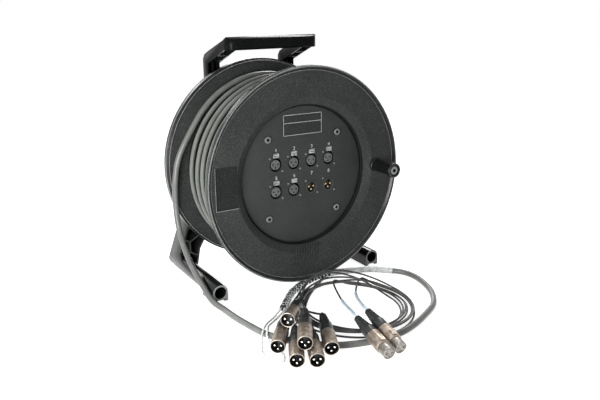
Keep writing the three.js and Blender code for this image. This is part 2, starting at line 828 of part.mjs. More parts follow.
const gripRibs = gripRibSpots.map((x) => (
  block(x - handleRib / 2, x + handleRib / 2, gripFront, gripBack, drumRadius, handleTop)));
const gripHollow = cut(common([
  handleRoom,
  block(-gripReach, gripReach, gripFront, gripBack - wall, postFoot, handleTop),
]), gripRibs);
const handle = cut(handleBlank, [handleWindow, armHollows, gripHollow]);
addDrum('carry_handle', handle, glossPlastic());

// Loose cable: off the drum at the upper left, down past the frame and round in front of the drum.
// Routes are points on the floor plan as [x, y, z] in the object's frame.
const cableSides = 10;
const cableSteps = 60;
const tailSides = 8;
const tailSteps = 10;
const layDepth = 127;
const laySlack = 0.8;
const straightLead = 8;
const cableEnd = [137.4, -97.5, 5];
const cableHeading = 131 * degree;
const sleeveEnd = [48.6, -55.7, 5.6];
const sleeveHeading = 176 * degree;
const follow = ([x, y, z], heading, distance) => [
  x + distance * Math.cos(heading),
  y + distance * Math.sin(heading),
  z,
];
const layRadius = strandRadius + laySlack;
const layAngles = [75, 84, 93, 102, 111, 120, 129, 137, 143];
const cableLay = layAngles.map((turn) => {
  const point = onDrum(layRadius, turn * degree, layDepth);
  return [point.x, point.y - centreShift, point.z + axleHeight];
});
const fallX = -(footX + footRadius + cableRadius + clearance * 2);
const cableFall = [
  [-137, 56.5, 197],
  [-144, 57.5, 177],
  [fallX, 57.1, 155.6],
  [fallX, 61.2, 131.7],
  [fallX, 60.9, 108.6],
  [fallX, 55.7, 86.9],
  [fallX, 45.4, 68.1],
  [fallX, 26.3, 48],
  [fallX, -0.2, 31],
  [fallX, -30.6, 18],
  [fallX, -58.4, 8.5],
];
const cableFloor = [
  [-142.5, -84, 4.6],
  [-140.1, -112.4, 4.4],
  [-135, -145.6, 4.4],
  [-127, -178.8, 4.4],
  [-110.9, -206.9, 4.4],
  [-89.8, -231, 4.4],
  [-65.2, -249.1, 4.4],
  [-30.5, -260.7, 4.4],
  [-7.3, -262.7, 4.4],
  [19.3, -262.2, 4.4],
  [49, -253.2, 4.4],
  [80.1, -238.1, 4.4],
  [104.3, -224, 4.4],
  [119.3, -209.9, 4.4],
  [136.4, -184.8, 4.4],
  [147.5, -155.6, 4.4],
  [151.5, -132.5, 4.4],
  [149.5, -114.4, 4.5],
];
const cableClose = [follow(cableEnd, cableHeading, -straightLead), cableEnd];
const cableRoute = [...cableLay, ...cableFall, ...cableFloor, ...cableClose];
addFloor('cable_run', tube(cableRoute, cableRadius, cableSides, cableSteps), cableJacket());

// Clear sleeve over the break-out, then the wire net grip with its rope loop
const sleeveRadius = 5;
const sleeveSteps = 8;
const gripRadius = 5.8;
const gripSides = 12;
const gripSteps = 11;
const ropeRadius = 1.5;
const ropeSteps = 38;
const sleeveRoute = [
  follow(cableEnd, cableHeading, clearance),
  follow(cableEnd, cableHeading, straightLead),
  [112, -74.5, 5.2],
  [88.2, -64, 5.2],
  follow(sleeveEnd, sleeveHeading, -straightLead),
  sleeveEnd,
];
const gripRoute = [
  follow(sleeveEnd, sleeveHeading, clearance),
  follow(sleeveEnd, sleeveHeading, straightLead),
  [13.8, -60.1, 5.9],
  [-16.4, -73.2, 5.9],
  [-37, -86.5, 5.9],
  [-57, -106, 5.9],
  [-74, -125, 5.9],
];
const ropeRoute = [
  [-76.1, -123.5, 5.9],
  [-80, -127, 5.4],
  [-97, -139.5, 3.5],
  [-112, -153, 6.5],
  [-123.5, -166, 9.9],
  [-129.7, -173.7, 11],
  [-136, -181.5, 9.6],
  [-145, -196, 4.5],
  [-152, -212, 1.9],
  [-153, -228, 1.7],
  [-150, -240, 1.7],
  [-142, -243, 1.7],
  [-135.5, -235, 1.7],
  [-132, -218, 1.7],
  [-134.5, -201, 3],
  [-133, -188, 7.5],
  [-126, -177, 11],
  [-119.5, -168, 9.6],
  [-108, -156, 6.3],
  [-94, -143.5, 3.5],
  [-76.5, -131, 5],
  [-72.7, -127.4, 5.9],
];
addFloor('breakout_sleeve', tube(sleeveRoute, sleeveRadius, cableSides, sleeveSteps), clearSleeve());
addFloor('pulling_grip', tube(gripRoute, gripRadius, gripSides, gripSteps), wireNet());
addFloor('grip_loop', tube(ropeRoute, ropeRadius, tailSides, ropeSteps), ropeWhite());

// Fan-out coiled on the floor: one winding in two layers, in and out again
const coilX = 12.8;
const coilY = -167.7;
const coilOuter = 84.5;
const coilPitch = 6.5;
const coilLoops = 3;
const coilFloor = 1.5;
const coilRise = 3.4;
const coilStartTurn = -70 * degree;
const coilSteps = coilLoops * loopSteps;
const coilRings = [];
for (let step = 0; step <= coilSteps * 2; step += 1) {
  const turns = step / loopSteps;
  const inward = Math.min(turns, coilLoops * 2 - turns);
  const climb = THREE.MathUtils.clamp((turns - coilLoops) * 2 + 0.5, 0, 1);
  const angle = coilStartTurn - turns * fullTurn;
  const radius = coilOuter - inward * coilPitch;
  const out = new THREE.Vector3(Math.cos(angle), Math.sin(angle), 0);
  const centre = new THREE.Vector3(coilX, coilY, coilFloor + climb * coilRise).addScaledVector(out, radius);
  coilRings.push({ centre, out, up: new THREE.Vector3(0, 0, 1) });
}
const coilLine = straightEnds(coilRings, tailRadius * 2);
addFloor('tail_coil', wound(coilLine, tailRadius, loopSides), tailJacket());
console.log('least gap of the coil', leastGap(coilLine, tailRadius, loopSteps / 2).toFixed(2));

// Cable plugs
const plugLength = 76;
const shellRadius = 9.2;
const shellCup = 7.9;
const shellCupDepth = 12;
const shellLength = 33;
const collarWidth = 8.4;
const collarEnd = 51;
const bootRadius = 7.4;
const bootTip = 4.4;
const edge = 1;
const barrelRadius = 7.8;
const barrelLength = 13;
const wideEnd = 38;
const pinMouth = 1.5;
const plugContactDepth = 8;
const tabHalf = 3;
const tabStart = 15;
const tabEnd = 25;
const tabLow = 8.2;
const tabHigh = 10.2;
const tabPocket = 7;
const tailLead = 7;
const approachTurn = 8;
const approachRise = 1.6;
const maleProfile = [
  [0, shellCupDepth],
  [shellCup, shellCupDepth],
  [shellCup, 0],
  [shellRadius, 0],
  [shellRadius, shellLength],
  [collarWidth, shellLength],
  [collarWidth, collarEnd],
  [bootRadius, collarEnd],
  [bootTip, plugLength],
  [0, plugLength],
];
const femaleProfile = [
  [0, 0],
  [barrelRadius, 0],
  [barrelRadius, barrelLength],
  [shellRadius, barrelLength + edge],
  [shellRadius, wideEnd],
  [collarWidth, wideEnd],
  [collarWidth, collarEnd],
  [bootRadius, collarEnd],
  [bootTip, plugLength],
  [0, plugLength],
];
const plugPin = rod(pinRadius, pinMouth, shellCupDepth + over, pinSides);
const plugPins = contacts.map(([x, z]) => moved(plugPin, x, 0, z));
const plugHole = rod(contactRadius, -over, plugContactDepth, pinSides);
const plugHoles = contacts.map(([x, z]) => moved(plugHole, x, 0, z));
const tabRoomHalf = tabHalf + clearance;
const tabRoom = block(
  -tabRoomHalf, tabRoomHalf, tabStart - clearance, tabEnd + clearance, tabPocket, tabHigh + over);
const maleBody = join([turned(maleProfile, smallSides), ...plugPins]);
const femaleBody = cut(turned(femaleProfile, smallSides), [tabRoom, ...plugHoles]);
const tab = block(-tabHalf, tabHalf, tabStart, tabEnd, tabLow, tabHigh);
// Each cable plug: its mouth's centre, its turn and tilt, the bends of its tail, and the strand of the coil
// that the tail lands on between two angles
const plugs = [
  {
    mouth: [-117.3, -212.1, 35.7], yaw: 42.9, tilt: -5.4,
    via: [[-52, -138, 17]], land: [1, 138, 112],
  },
  {
    mouth: [-141.4, -229.7, 14.9], yaw: 37.8, tilt: 3.6,
    via: [[-84, -154, 14]], land: [0, 152, 128],
  },
  {
    mouth: [-124.4, -263.9, 30.3], yaw: 31.3, tilt: 3.3,
    via: [[-70, -179, 25]], land: [1, 172, 151],
  },
  {
    mouth: [-137.3, -266.9, 13.1], yaw: 29.2, tilt: 2.1,
    via: [[-87, -183, 12]], land: [0, 184, 166],
  },
  {
    mouth: [-117.4, -279, 13.4], yaw: 25.3, tilt: 2.6,
    via: [[-74, -193, 14]], land: [1, 204, 191],
  },
  {
    mouth: [-91, -268.6, 16.1], yaw: 25.2, tilt: 4,
    via: [[-51.5, -188, 17]], land: [2, 182, 168],
  },
  {
    mouth: [-35.3, -306.3, 10.8], yaw: 5.7, tilt: 9.4,
    via: [[-14, -203, 16], [7, -145, 8]], land: [2, 84, 66],
  },
  {
    mouth: [-14.2, -301.7, 9.9], yaw: 4.4, tilt: 12.7,
    via: [[9, -196, 15], [36, -140, 8.6]], land: [1, 50, 36],
  },
];
const maleCount = 6;
const tailZ = coilFloor + coilRise + tailRadius * 2 + clearance;

// The frame of a plug that is turned to the right and whose boot is tilted up.
function plugBasis(yaw, tilt) {
  const [turn, rise] = [yaw * degree, tilt * degree];
  const back = new THREE.Vector3(0, Math.cos(rise), Math.sin(rise));
  const up = new THREE.Vector3(0, -Math.sin(rise), Math.cos(rise));
  const upright = new THREE.Vector3(0, 0, 1);
  back.applyAxisAngle(upright, -turn);
  up.applyAxisAngle(upright, -turn);
  return { side: new THREE.Vector3().crossVectors(back, up), back, up };
}

// Where a tail comes down on the coil and follows its strand.
function landing([strand, from, to]) {
  return [from + approachTurn, from, (from + to) / 2, to].map((spot, step) => {
    const angle = spot * degree;
    const radius = coilOuter - (strand + (angle - coilStartTurn) / fullTurn) * coilPitch;
    const height = step === 0 ? tailZ + approachRise : tailZ;
    return [coilX + radius * Math.cos(angle), coilY + radius * Math.sin(angle), height];
  });
}

plugs.forEach(({ mouth, yaw, tilt, via, land }, i) => {
  const { side, back, up } = plugBasis(yaw, tilt);
  const place = new THREE.Matrix4().makeBasis(side, back, up).setPosition(...mouth);
  const name = i < maleCount ? `pin_plug_${i + 1}` : `socket_plug_${i + 1}`;
  const body = i < maleCount ? maleBody : femaleBody;
  addFloor(name, body.clone().applyMatrix4(place), shellMetal());
  if (i >= maleCount) addFloor(`plug_latch_${i + 1}`, tab.clone().applyMatrix4(place), steel());
  const along = (distance) => new THREE.Vector3(...mouth).addScaledVector(back, distance).toArray();
  const route = [along(plugLength + clearance), along(plugLength + tailLead), ...via, ...landing(land)];
  addFloor(`tail_${i + 1}`, tube(route, tailRadius, tailSides, tailSteps), tailJacket());
});

export default group;
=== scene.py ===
import json
import math

import bmesh
import bpy
import numpy as np
from mathutils import Matrix, Vector

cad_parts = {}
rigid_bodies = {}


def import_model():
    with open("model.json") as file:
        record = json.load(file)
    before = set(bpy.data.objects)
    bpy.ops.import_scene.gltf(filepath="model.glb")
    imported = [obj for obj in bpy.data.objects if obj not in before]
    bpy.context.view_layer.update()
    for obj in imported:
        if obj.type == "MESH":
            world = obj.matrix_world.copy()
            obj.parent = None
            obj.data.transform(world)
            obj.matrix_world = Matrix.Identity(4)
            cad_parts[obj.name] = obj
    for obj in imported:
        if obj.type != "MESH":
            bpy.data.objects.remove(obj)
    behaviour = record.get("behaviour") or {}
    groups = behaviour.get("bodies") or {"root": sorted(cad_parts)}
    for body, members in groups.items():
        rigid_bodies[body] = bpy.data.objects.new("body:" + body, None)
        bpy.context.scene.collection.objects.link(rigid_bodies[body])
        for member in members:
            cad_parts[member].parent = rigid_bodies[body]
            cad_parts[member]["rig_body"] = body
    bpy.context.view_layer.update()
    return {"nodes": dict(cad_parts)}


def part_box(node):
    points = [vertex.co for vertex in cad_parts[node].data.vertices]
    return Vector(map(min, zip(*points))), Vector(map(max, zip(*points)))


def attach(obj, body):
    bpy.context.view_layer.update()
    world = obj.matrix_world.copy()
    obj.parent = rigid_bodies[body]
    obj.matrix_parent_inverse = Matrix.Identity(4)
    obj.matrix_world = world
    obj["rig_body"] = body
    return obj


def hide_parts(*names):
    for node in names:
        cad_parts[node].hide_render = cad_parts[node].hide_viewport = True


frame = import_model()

mm = 0.001
tiny = 1e-6    # lengths below this count as none
nodes = frame["nodes"]


# Places read from the frame

rimProud = 3.5    # the raised rim stands this far in front of the flange's face, mm
faceLow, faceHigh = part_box("front_flange")
axle = (faceLow + faceHigh) / 2
faceY = faceLow.y + rimProud * mm
drumRadius = (faceHigh.z - faceLow.z) / 2 / mm    # mm


def onAxle(x=0, y=0, z=0):
    # a point given in millimetres from the axle and from the front flange's face
    return Vector((axle.x + x * mm, faceY + y * mm, axle.z + z * mm))


def movedTo(x=0, y=0, z=0):
    return Matrix.Translation(onAxle(x, y, z))


# Materials

def linear(hexColour):
    # sRGB hex to the linear values that the shader takes
    values = [int(hexColour[i:i + 2], 16) / 255 for i in (1, 3, 5)]
    return [v / 12.92 if v <= 0.04045 else ((v + 0.055) / 1.055) ** 2.4 for v in values] + [1.0]


def addNode(tree, kind, settings=None, values=None, links=None, stops=()):
    # one node with its settings, fixed values and links; a ramp's stops are hex colours or greys
    node = tree.nodes.new("ShaderNode" + kind)
    for key, value in (settings or {}).items():
        setattr(node, key, value)
    for key, value in (values or {}).items():
        node.inputs[key].default_value = value
    for key, source in (links or {}).items():
        tree.links.new(source, node.inputs[key])
    while stops and len(node.color_ramp.elements) < len(stops):
        node.color_ramp.elements.new(0.5)
    for k, (place, colour) in enumerate(stops):
        node.color_ramp.elements[k].position = place
        shade = linear(colour) if isinstance(colour, str) else (colour, colour, colour, 1)
        node.color_ramp.elements[k].color = shade
    return node


def newMaterial(name, **sockets):
    material = bpy.data.materials.new(name)
    material.use_nodes = True
    tree = material.node_tree
    shader = tree.nodes["Principled BSDF"]
    for key, value in sockets.items():
        shader.inputs[key.replace("_", " ")].default_value = value
    return material, tree, shader


def bodyCoordinates(tree, stretch=(1, 1, 1)):
    spot = addNode(tree, "TexCoord")
    return addNode(tree, "Mapping", values={"Scale": stretch},
                   links={"Vector": spot.outputs["Object"]}).outputs[0]


def mouldedPlastic(name, colours, roughness, grainSize, grainDepth, level=0.5):
    # ABS, spark-eroded mould: a fine dull grain; its pits are painted darker and its peaks brighter, painted shade
    # and painted highlight
    material, tree, shader = newMaterial(name, IOR=1.5)
    shader.inputs["Specular IOR Level"].default_value = level    # a coarse grain hides part of the gloss
    where = bodyCoordinates(tree)
    grain = addNode(tree, "TexNoise", values={"Scale": 1 / (grainSize * mm), "Detail": 3, "Roughness": 0.6},
                    links={"Vector": where})
    cloud = addNode(tree, "TexNoise", values={"Scale": 18, "Detail": 4}, links={"Vector": where})
    tone = addNode(tree, "ValToRGB", links={"Fac": cloud.outputs["Fac"]},
                   stops=[(0.3, colours[0]), (0.7, colours[1])]).outputs[0]
    # painted shade and highlight: the grain's colour runs from darker in its pits to brighter on its peaks
    grainShadeAndGlint = addNode(tree, "ValToRGB", links={"Fac": grain.outputs["Fac"]},
                    stops=[(0.36, 0.75), (0.56, 1.0), (0.7, 1.9)]).outputs[0]
    base = addNode(tree, "Mix", {"data_type": "RGBA", "blend_type": "MULTIPLY"}, {"Factor": 1.0},
                   {"A": tone, "B": grainShadeAndGlint})
    tree.links.new(base.outputs["Result"], shader.inputs["Base Color"])
    gloss = addNode(tree, "MapRange", values={"To Min": roughness - 0.07, "To Max": roughness + 0.08},
                    links={"Value": cloud.outputs["Fac"]})
    tree.links.new(gloss.outputs[0], shader.inputs["Roughness"])
    bump = addNode(tree, "Bump", values={"Strength": 0.6, "Distance": grainDepth * mm},
                   links={"Height": grain.outputs["Fac"]})
    tree.links.new(bump.outputs[0], shader.inputs["Normal"])
    return material


def platedMetal(name, colour, roughness, streak=1.5):
    # steel, brass or zinc with a plated skin: bright, with a faint unevenness in the gloss
    material, tree, shader = newMaterial(name, Metallic=1.0, Base_Color=linear(colour))
    where = bodyCoordinates(tree)
    brush = addNode(tree, "TexNoise", values={"Scale": 1 / (streak * mm), "Detail": 3},
                    links={"Vector": where})
    gloss = addNode(tree, "MapRange", values={"To Min": roughness * 0.7, "To Max": roughness * 1.3},
                    links={"Value": brush.outputs["Fac"]})
    tree.links.new(gloss.outputs[0], shader.inputs["Roughness"])
    return material


def wornMetal(name, colours, roughness, patch):
    # a plated shell dulled by handling: soft darker and lighter patches
    material, tree, shader = newMaterial(name, Metallic=1.0)
    where = bodyCoordinates(tree)
    cloud = addNode(tree, "TexNoise", values={"Scale": 1 / (patch * mm), "Detail": 5},
                    links={"Vector": where})
    tone = addNode(tree, "ValToRGB", links={"Fac": cloud.outputs["Fac"]},
                   stops=[(0.35, colours[0]), (0.65, colours[1])]).outputs[0]
    tree.links.new(tone, shader.inputs["Base Color"])
    gloss = addNode(tree, "MapRange", values={"To Min": roughness + 0.1, "To Max": roughness - 0.06},
                    links={"Value": cloud.outputs["Fac"]})
    tree.links.new(gloss.outputs[0], shader.inputs["Roughness"])
    return material


def roughCasting(name, colour, roughness, lump, depth):
    # zinc, die cast and tumbled: an uneven skin that breaks a highlight into patches
    material, tree, shader = newMaterial(name, Metallic=1.0, Roughness=roughness)
    where = bodyCoordinates(tree)
    cloud = addNode(tree, "TexNoise", values={"Scale": 1 / (lump * mm), "Detail": 4},
                    links={"Vector": where})
    tone = addNode(tree, "ValToRGB", links={"Fac": cloud.outputs["Fac"]},
                   stops=[(0.35, "#5d5f5e"), (0.65, colour)]).outputs[0]
    tree.links.new(tone, shader.inputs["Base Color"])
    bump = addNode(tree, "Bump", values={"Strength": 0.9, "Distance": depth * mm},
                   links={"Height": cloud.outputs["Fac"]})
    tree.links.new(bump.outputs[0], shader.inputs["Normal"])
    return material


def extrudedJacket(name, colours, roughness, level=0.5, grooveShade=None, lineWidth=1.2):
    # PVC, extruded: satin, with dust and handling marks along it
    material, tree, shader = newMaterial(name, IOR=1.53)
    shader.inputs["Specular IOR Level"].default_value = level
    where = bodyCoordinates(tree)
    cloud = addNode(tree, "TexNoise", values={"Scale": 60, "Detail": 5}, links={"Vector": where})
    tone = addNode(tree, "ValToRGB", links={"Fac": cloud.outputs["Fac"]},
                   stops=[(0.3, colours[0]), (0.7, colours[1])]).outputs[0]
    if grooveShade:
        # painted shade: the tone falls off towards the drum's axle, so the grooves between the turns look shaded
        height, bottom, top = (v * mm for v in grooveShade)
        centred = addNode(tree, "VectorMath", {"operation": "SUBTRACT"}, {1: (0, 0, height)}, {0: where})
        flat = addNode(tree, "VectorMath", {"operation": "MULTIPLY"}, {1: (1, 0, 1)},
                       {0: centred.outputs[0]})
        reach = addNode(tree, "VectorMath", {"operation": "LENGTH"}, links={0: flat.outputs[0]})
        depth = addNode(tree, "MapRange", values={"From Min": bottom, "From Max": top, "To Min": 0.08},
                        links={"Value": reach.outputs["Value"]})
        tone = addNode(tree, "VectorMath", {"operation": "MULTIPLY"},
                       links={0: tone, 1: depth.outputs[0]}).outputs[0]
    tree.links.new(tone, shader.inputs["Base Color"])
    gloss = addNode(tree, "MapRange", values={"To Min": roughness - 0.08, "To Max": roughness + 0.08},
                    links={"Value": cloud.outputs["Fac"]})
    tree.links.new(gloss.outputs[0], shader.inputs["Roughness"])
    fine = addNode(tree, "TexNoise", values={"Scale": 1 / (lineWidth * mm), "Detail": 2},
                   links={"Vector": where})
    bump = addNode(tree, "Bump", values={"Strength": 0.25, "Distance": 0.2 * mm},
                   links={"Height": fine.outputs["Fac"]})
    tree.links.new(bump.outputs[0], shader.inputs["Normal"])
    return material


grainedAbs = mouldedPlastic("ABS moulded grained", ("#333534", "#3c3e3d"), 0.5, 1.6, 0.4, 0.1)
# the rim is drawn darker and glossier than the face
rimAbs = mouldedPlastic("ABS moulded darker glossier rim", ("#1a1b1b", "#202121"), 0.26, 1.6, 0.03, 0.25)
# pale rings along the rims: painted highlight lines
rimHighlightAbs = mouldedPlastic("ABS pale ring painted highlight", ("#727572", "#858884"), 0.35, 1.6, 0.03, 0.4)
glossAbs = mouldedPlastic("ABS moulded polished", ("#101211", "#161817"), 0.16, 4, 0.05, 0.04)
footAbs = mouldedPlastic("ABS moulded black tube", ("#090a0a", "#0e0f0f"), 0.2, 1.4, 0.03, 0.4)
# pale grey for edges and faces that catch light: painted highlight and painted reflection
paintedHighlightAbs = mouldedPlastic("ABS pale edge painted highlight", ("#747673", "#8a8d89"), 0.6, 0.9, 0.1, 0.2)
frameAbs = mouldedPlastic("ABS moulded satin", ("#1d1f1e", "#262827"), 0.36, 1.4, 0.2)
blackNylon = mouldedPlastic("nylon moulded black", ("#0c0d0d", "#111212"), 0.36, 1.2, 0.1, 0.4)
# the smooth pocket's own finish, also used as painted shade in the gap round the panel
pocketAndGapShadeAbs = mouldedPlastic("ABS moulded smooth pocket and painted gap shade", ("#1f2120", "#262827"), 0.45, 1.6, 0.1, 0.1)
panelCoat = mouldedPlastic("aluminium powder coated", ("#353837", "#3d403f"), 0.45, 1.1, 0.2, 0.12)
bootNylon = mouldedPlastic("nylon moulded glossy", ("#2a2d2b", "#343735"), 0.28, 1.2, 0.05, 0.35)
greyNylon = mouldedPlastic("nylon glass filled grey", ("#565958", "#636665"), 0.5, 0.8, 0.1, 0.3)
darkNylon = mouldedPlastic("nylon glass filled dark grey", ("#373938", "#414342"), 0.5, 0.8, 0.1, 0.3)
nickelSteel = platedMetal("steel nickel plated", "#c9cbcc", 0.22)
zincSteel = platedMetal("steel zinc plated dull", "#7b7e7d", 0.42)
labelFoil = mouldedPlastic("polyester label black", ("#2c2e2d", "#333534"), 0.4, 1, 0.03, 0.12)
castZinc = roughCasting("zinc die cast tumbled", "#b9bbba", 0.34, 2.2, 0.7)
champagneZinc = wornMetal("zinc die cast black chrome", ("#877b70", "#b3a69a"), 0.42, 5.0)
noseZinc = wornMetal("zinc die cast satin nickel", ("#77736e", "#a39f99"), 0.4, 3.0)
rimZinc = platedMetal("zinc die cast bright edge", "#b3aaa0", 0.3)
goldPins = platedMetal("brass gold plated", "#d6bf8c", 0.22)
silverPins = platedMetal("brass silver plated", "#f2f0ea", 0.16)
jacketPvc = extrudedJacket("PVC extruded cable jacket", ("#6a6c69", "#797b77"), 0.3, 0.35)
# painted light: the wound cable is a second copy of the jacket with its own tone, and painted shade darkens its
# grooves
shadedWoundPvc = extrudedJacket("PVC extruded jacket wound up painted shade", ("#6f726e", "#7f827d"), 0.36, 0.12,
                          grooveShade=(167.5, 130.8, 135.2))
# the same cable jacket drawn near black in the lower layers: painted shade between the outer turns
shadedLowerPvc = extrudedJacket("PVC extruded jacket lower layers painted shade", ("#161716", "#1e1f1e"), 0.5, 0.05)
tailPvc = extrudedJacket("PVC extruded black tail", ("#363736", "#454643"), 0.32)
blueSleeve = extrudedJacket("PVC shrink sleeve pale blue", ("#d3eafa", "#e6f4fd"), 0.4)
bushPom = mouldedPlastic("acetal turned", ("#d8d6cf", "#e2e0d9"), 0.4, 2, 0.03)


def clearPvc():
    # PVC extruded clear: a milky tube with soft grey streaks where it lies on what it holds
    material, tree, shader = newMaterial("PVC extruded clear", IOR=1.53, Roughness=0.2)
    shader.inputs["Transmission Weight"].default_value = 0.12
    where = bodyCoordinates(tree, (0.35, 1.6, 1.6))
    cloud = addNode(tree, "TexNoise", values={"Scale": 190, "Detail": 3}, links={"Vector": where})
    tone = addNode(tree, "ValToRGB", links={"Fac": cloud.outputs["Fac"]},
                   stops=[(0.3, "#b4b7b7"), (0.52, "#eceeee"), (0.7, "#fbfcfc")]).outputs[0]
    tree.links.new(tone, shader.inputs["Base Color"])
    return material


def twistedNylon():
    # nylon cord, twisted and translucent: soft white with bright ridges
    material, tree, shader = newMaterial("nylon cord twisted", IOR=1.53, Roughness=0.4)
    where = bodyCoordinates(tree)
    cloud = addNode(tree, "TexNoise", values={"Scale": 400, "Detail": 3}, links={"Vector": where})
    tone = addNode(tree, "ValToRGB", links={"Fac": cloud.outputs["Fac"]},
                   stops=[(0.35, "#c3c6c6"), (0.65, "#f1f2f2")]).outputs[0]
    tree.links.new(tone, shader.inputs["Base Color"])
    return material


clearTube = clearPvc()
ropeNylon = twistedNylon()
netWire = platedMetal("steel wire galvanised", "#dfe1e2", 0.3)


# Meshes

def roundCorners(points, radius, steps=3, closed=False):
    # each corner of an outline becomes a short curve
    result = []
    count = len(points)
    for i, point in enumerate(points):
        here = Vector(point)
        if not closed and i in (0, count - 1):
            result.append(here)
            continue
        before = Vector(points[i - 1]) - here
        after = Vector(points[(i + 1) % count]) - here
        reach = min(radius, before.length * 0.45, after.length * 0.45)
        start = here + before.normalized() * reach
        end = here + after.normalized() * reach
        for step in range(steps + 1):
            t = step / steps
            result.append(start * (1 - t) ** 2 + here * 2 * t * (1 - t) + end * t ** 2)
    return result


def facedOut(bm):
    bmesh.ops.recalc_face_normals(bm, faces=bm.faces)
    if bm.calc_volume(signed=True) < 0:
        bmesh.ops.reverse_faces(bm, faces=bm.faces)
    return bm


def lathe(profile, sides, rounding=0.0, closed=False, steps=3):
    # turns [radius, y] points in millimetres about the Y axis
    points = roundCorners(profile, rounding, steps, closed) if rounding else [Vector(p) for p in profile]
    bm = bmesh.new()
    rings = []
    for radius, y in points:
        if radius < tiny:
            rings.append([bm.verts.new((0, y * mm, 0))])
            continue
        turns = [2 * math.pi * i / sides for i in range(sides)]
        rings.append([bm.verts.new((radius * mm * math.sin(t), y * mm, radius * mm * math.cos(t)))
                      for t in turns])
    pairs = list(zip(rings, rings[1:] + rings[:1])) if closed else list(zip(rings, rings[1:]))
    for a, b in pairs:
        for i in range(sides):
            j = (i + 1) % sides
            corners = [a[i % len(a)], a[j % len(a)], b[j % len(b)], b[i % len(b)]]
            face = list(dict.fromkeys(corners))
            if len(face) > 2:
                bm.faces.new(face)
    return facedOut(bm)


def prism(outline, y0, y1, rounding=0.0, steps=3):
    # an [x, z] outline in millimetres drawn out along Y
    points = roundCorners(outline, rounding, steps, True) if rounding else [Vector(p) for p in outline]
    bm = bmesh.new()
    front = [bm.verts.new((x * mm, y0 * mm, z * mm)) for x, z in points]
    back = [bm.verts.new((x * mm, y1 * mm, z * mm)) for x, z in points]
    bm.faces.new(front)
    bm.faces.new(back[::-1])
    for i in range(len(points)):
        j = (i + 1) % len(points)
        bm.faces.new([front[i], front[j], back[j], back[i]])
    return facedOut(bm)


def rectangle(x0, x1, z0, z1):
    return [(x0, z0), (x1, z0), (x1, z1), (x0, z1)]


def circlePoints(radius, sides, x=0.0, z=0.0):
    turns = [2 * math.pi * i / sides for i in range(sides)]
    return [(x + radius * math.cos(t), z + radius * math.sin(t)) for t in turns]


def meshObject(bm, name, place=None):
    if place is not None:
        bmesh.ops.transform(bm, matrix=place, verts=bm.verts)
    mesh = bpy.data.meshes.new(name)
    bm.to_mesh(mesh)
    bm.free()
    piece = bpy.data.objects.new(name, mesh)
    bpy.context.scene.collection.objects.link(piece)
    return piece


def evaluated(piece):
    # applies the modifiers of a piece
    bpy.context.view_layer.update()
    graph = bpy.context.evaluated_depsgraph_get()
    mesh = bpy.data.meshes.new_from_object(piece.evaluated_get(graph))
    piece.modifiers.clear()
    old = piece.data
    piece.data = mesh
    bpy.data.meshes.remove(old)
    return piece


def carve(piece, cutters):
    # cuts closed meshes out of a piece
    for cutter in cutters:
        tool = meshObject(cutter, "cutter")
        modifier = piece.modifiers.new("cut", "BOOLEAN")
        modifier.operation = "DIFFERENCE"
        modifier.solver = "EXACT"
        modifier.object = tool
        evaluated(piece)
        bpy.data.objects.remove(tool)
    return piece


def pour(part, bm):
    # moves a mesh into another
    holder = bpy.data.meshes.new("part")
    part.to_mesh(holder)
    part.free()
    bm.from_mesh(holder)
    bpy.data.meshes.remove(holder)


def merge(*parts):
    # several meshes as one
    bm = bmesh.new()
    for part in parts:
        pour(part, bm)
    return bm


def assembled(name, parts, place=None):
    # several meshes in one piece, each with its own finish
    bm = bmesh.new()
    materials = []
    for part, material in parts:
        known = len(bm.faces)
        pour(part, bm)
        if material not in materials:
            materials.append(material)
        bm.faces.ensure_lookup_table()
        for face in bm.faces[known:]:
            face.material_index = materials.index(material)
    piece = meshObject(bm, name, place)
    for material in materials:
        piece.data.materials.append(material)
    return piece


def carved(bm, cutters):
    # the same cut on a mesh that isn't an object yet
    piece = carve(meshObject(bm, "blank"), cutters)
    result = bmesh.new()
    result.from_mesh(piece.data)
    bpy.data.objects.remove(piece)
    return result


def dress(piece, material, body, replaced=(), smoothAngle=35):
    # finish, smooth shading, the body that it rides on and the nodes that it stands for
    if material:
        piece.data.materials.clear()
        piece.data.materials.append(material)
    mesh = piece.data
    mesh.polygons.foreach_set("use_smooth", [True] * len(mesh.polygons))
    mesh.set_sharp_from_angle(angle=math.radians(smoothAngle))
    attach(piece, body)
    if replaced:
        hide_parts(*replaced)
    return piece


def finishFaces(piece, materials, choose):
    # choose gives a face's material by the face's middle, in millimetres, and its normal
    piece.data.materials.clear()
    for material in materials:
        piece.data.materials.append(material)
    for face in piece.data.polygons:
        face.material_index = int(choose(*(face.center / mm), face.normal))


def softened(node, width, segments=2, sharp=28):
    # a copy of a node with its edges rounded
    bm = bmesh.new()
    bm.from_mesh(nodes[node].data)
    bmesh.ops.remove_doubles(bm, verts=bm.verts, dist=tiny)
    bmesh.ops.dissolve_limit(bm, angle_limit=math.radians(1), verts=bm.verts, edges=bm.edges)
    piece = meshObject(bm, node.replace("_", " ").title().replace(" ", ""))
    bevel = piece.modifiers.new("round", "BEVEL")
    bevel.width = width * mm
    bevel.segments = segments
    bevel.limit_method = "ANGLE"
    bevel.angle_limit = math.radians(sharp)
    bevel.use_clamp_overlap = True
    return evaluated(piece)


# Cords: lines, tubes

def distances(line):
    # how far along a line each of its points lies
    return np.concatenate([[0], np.cumsum(np.linalg.norm(np.diff(line, axis=0), axis=1))])


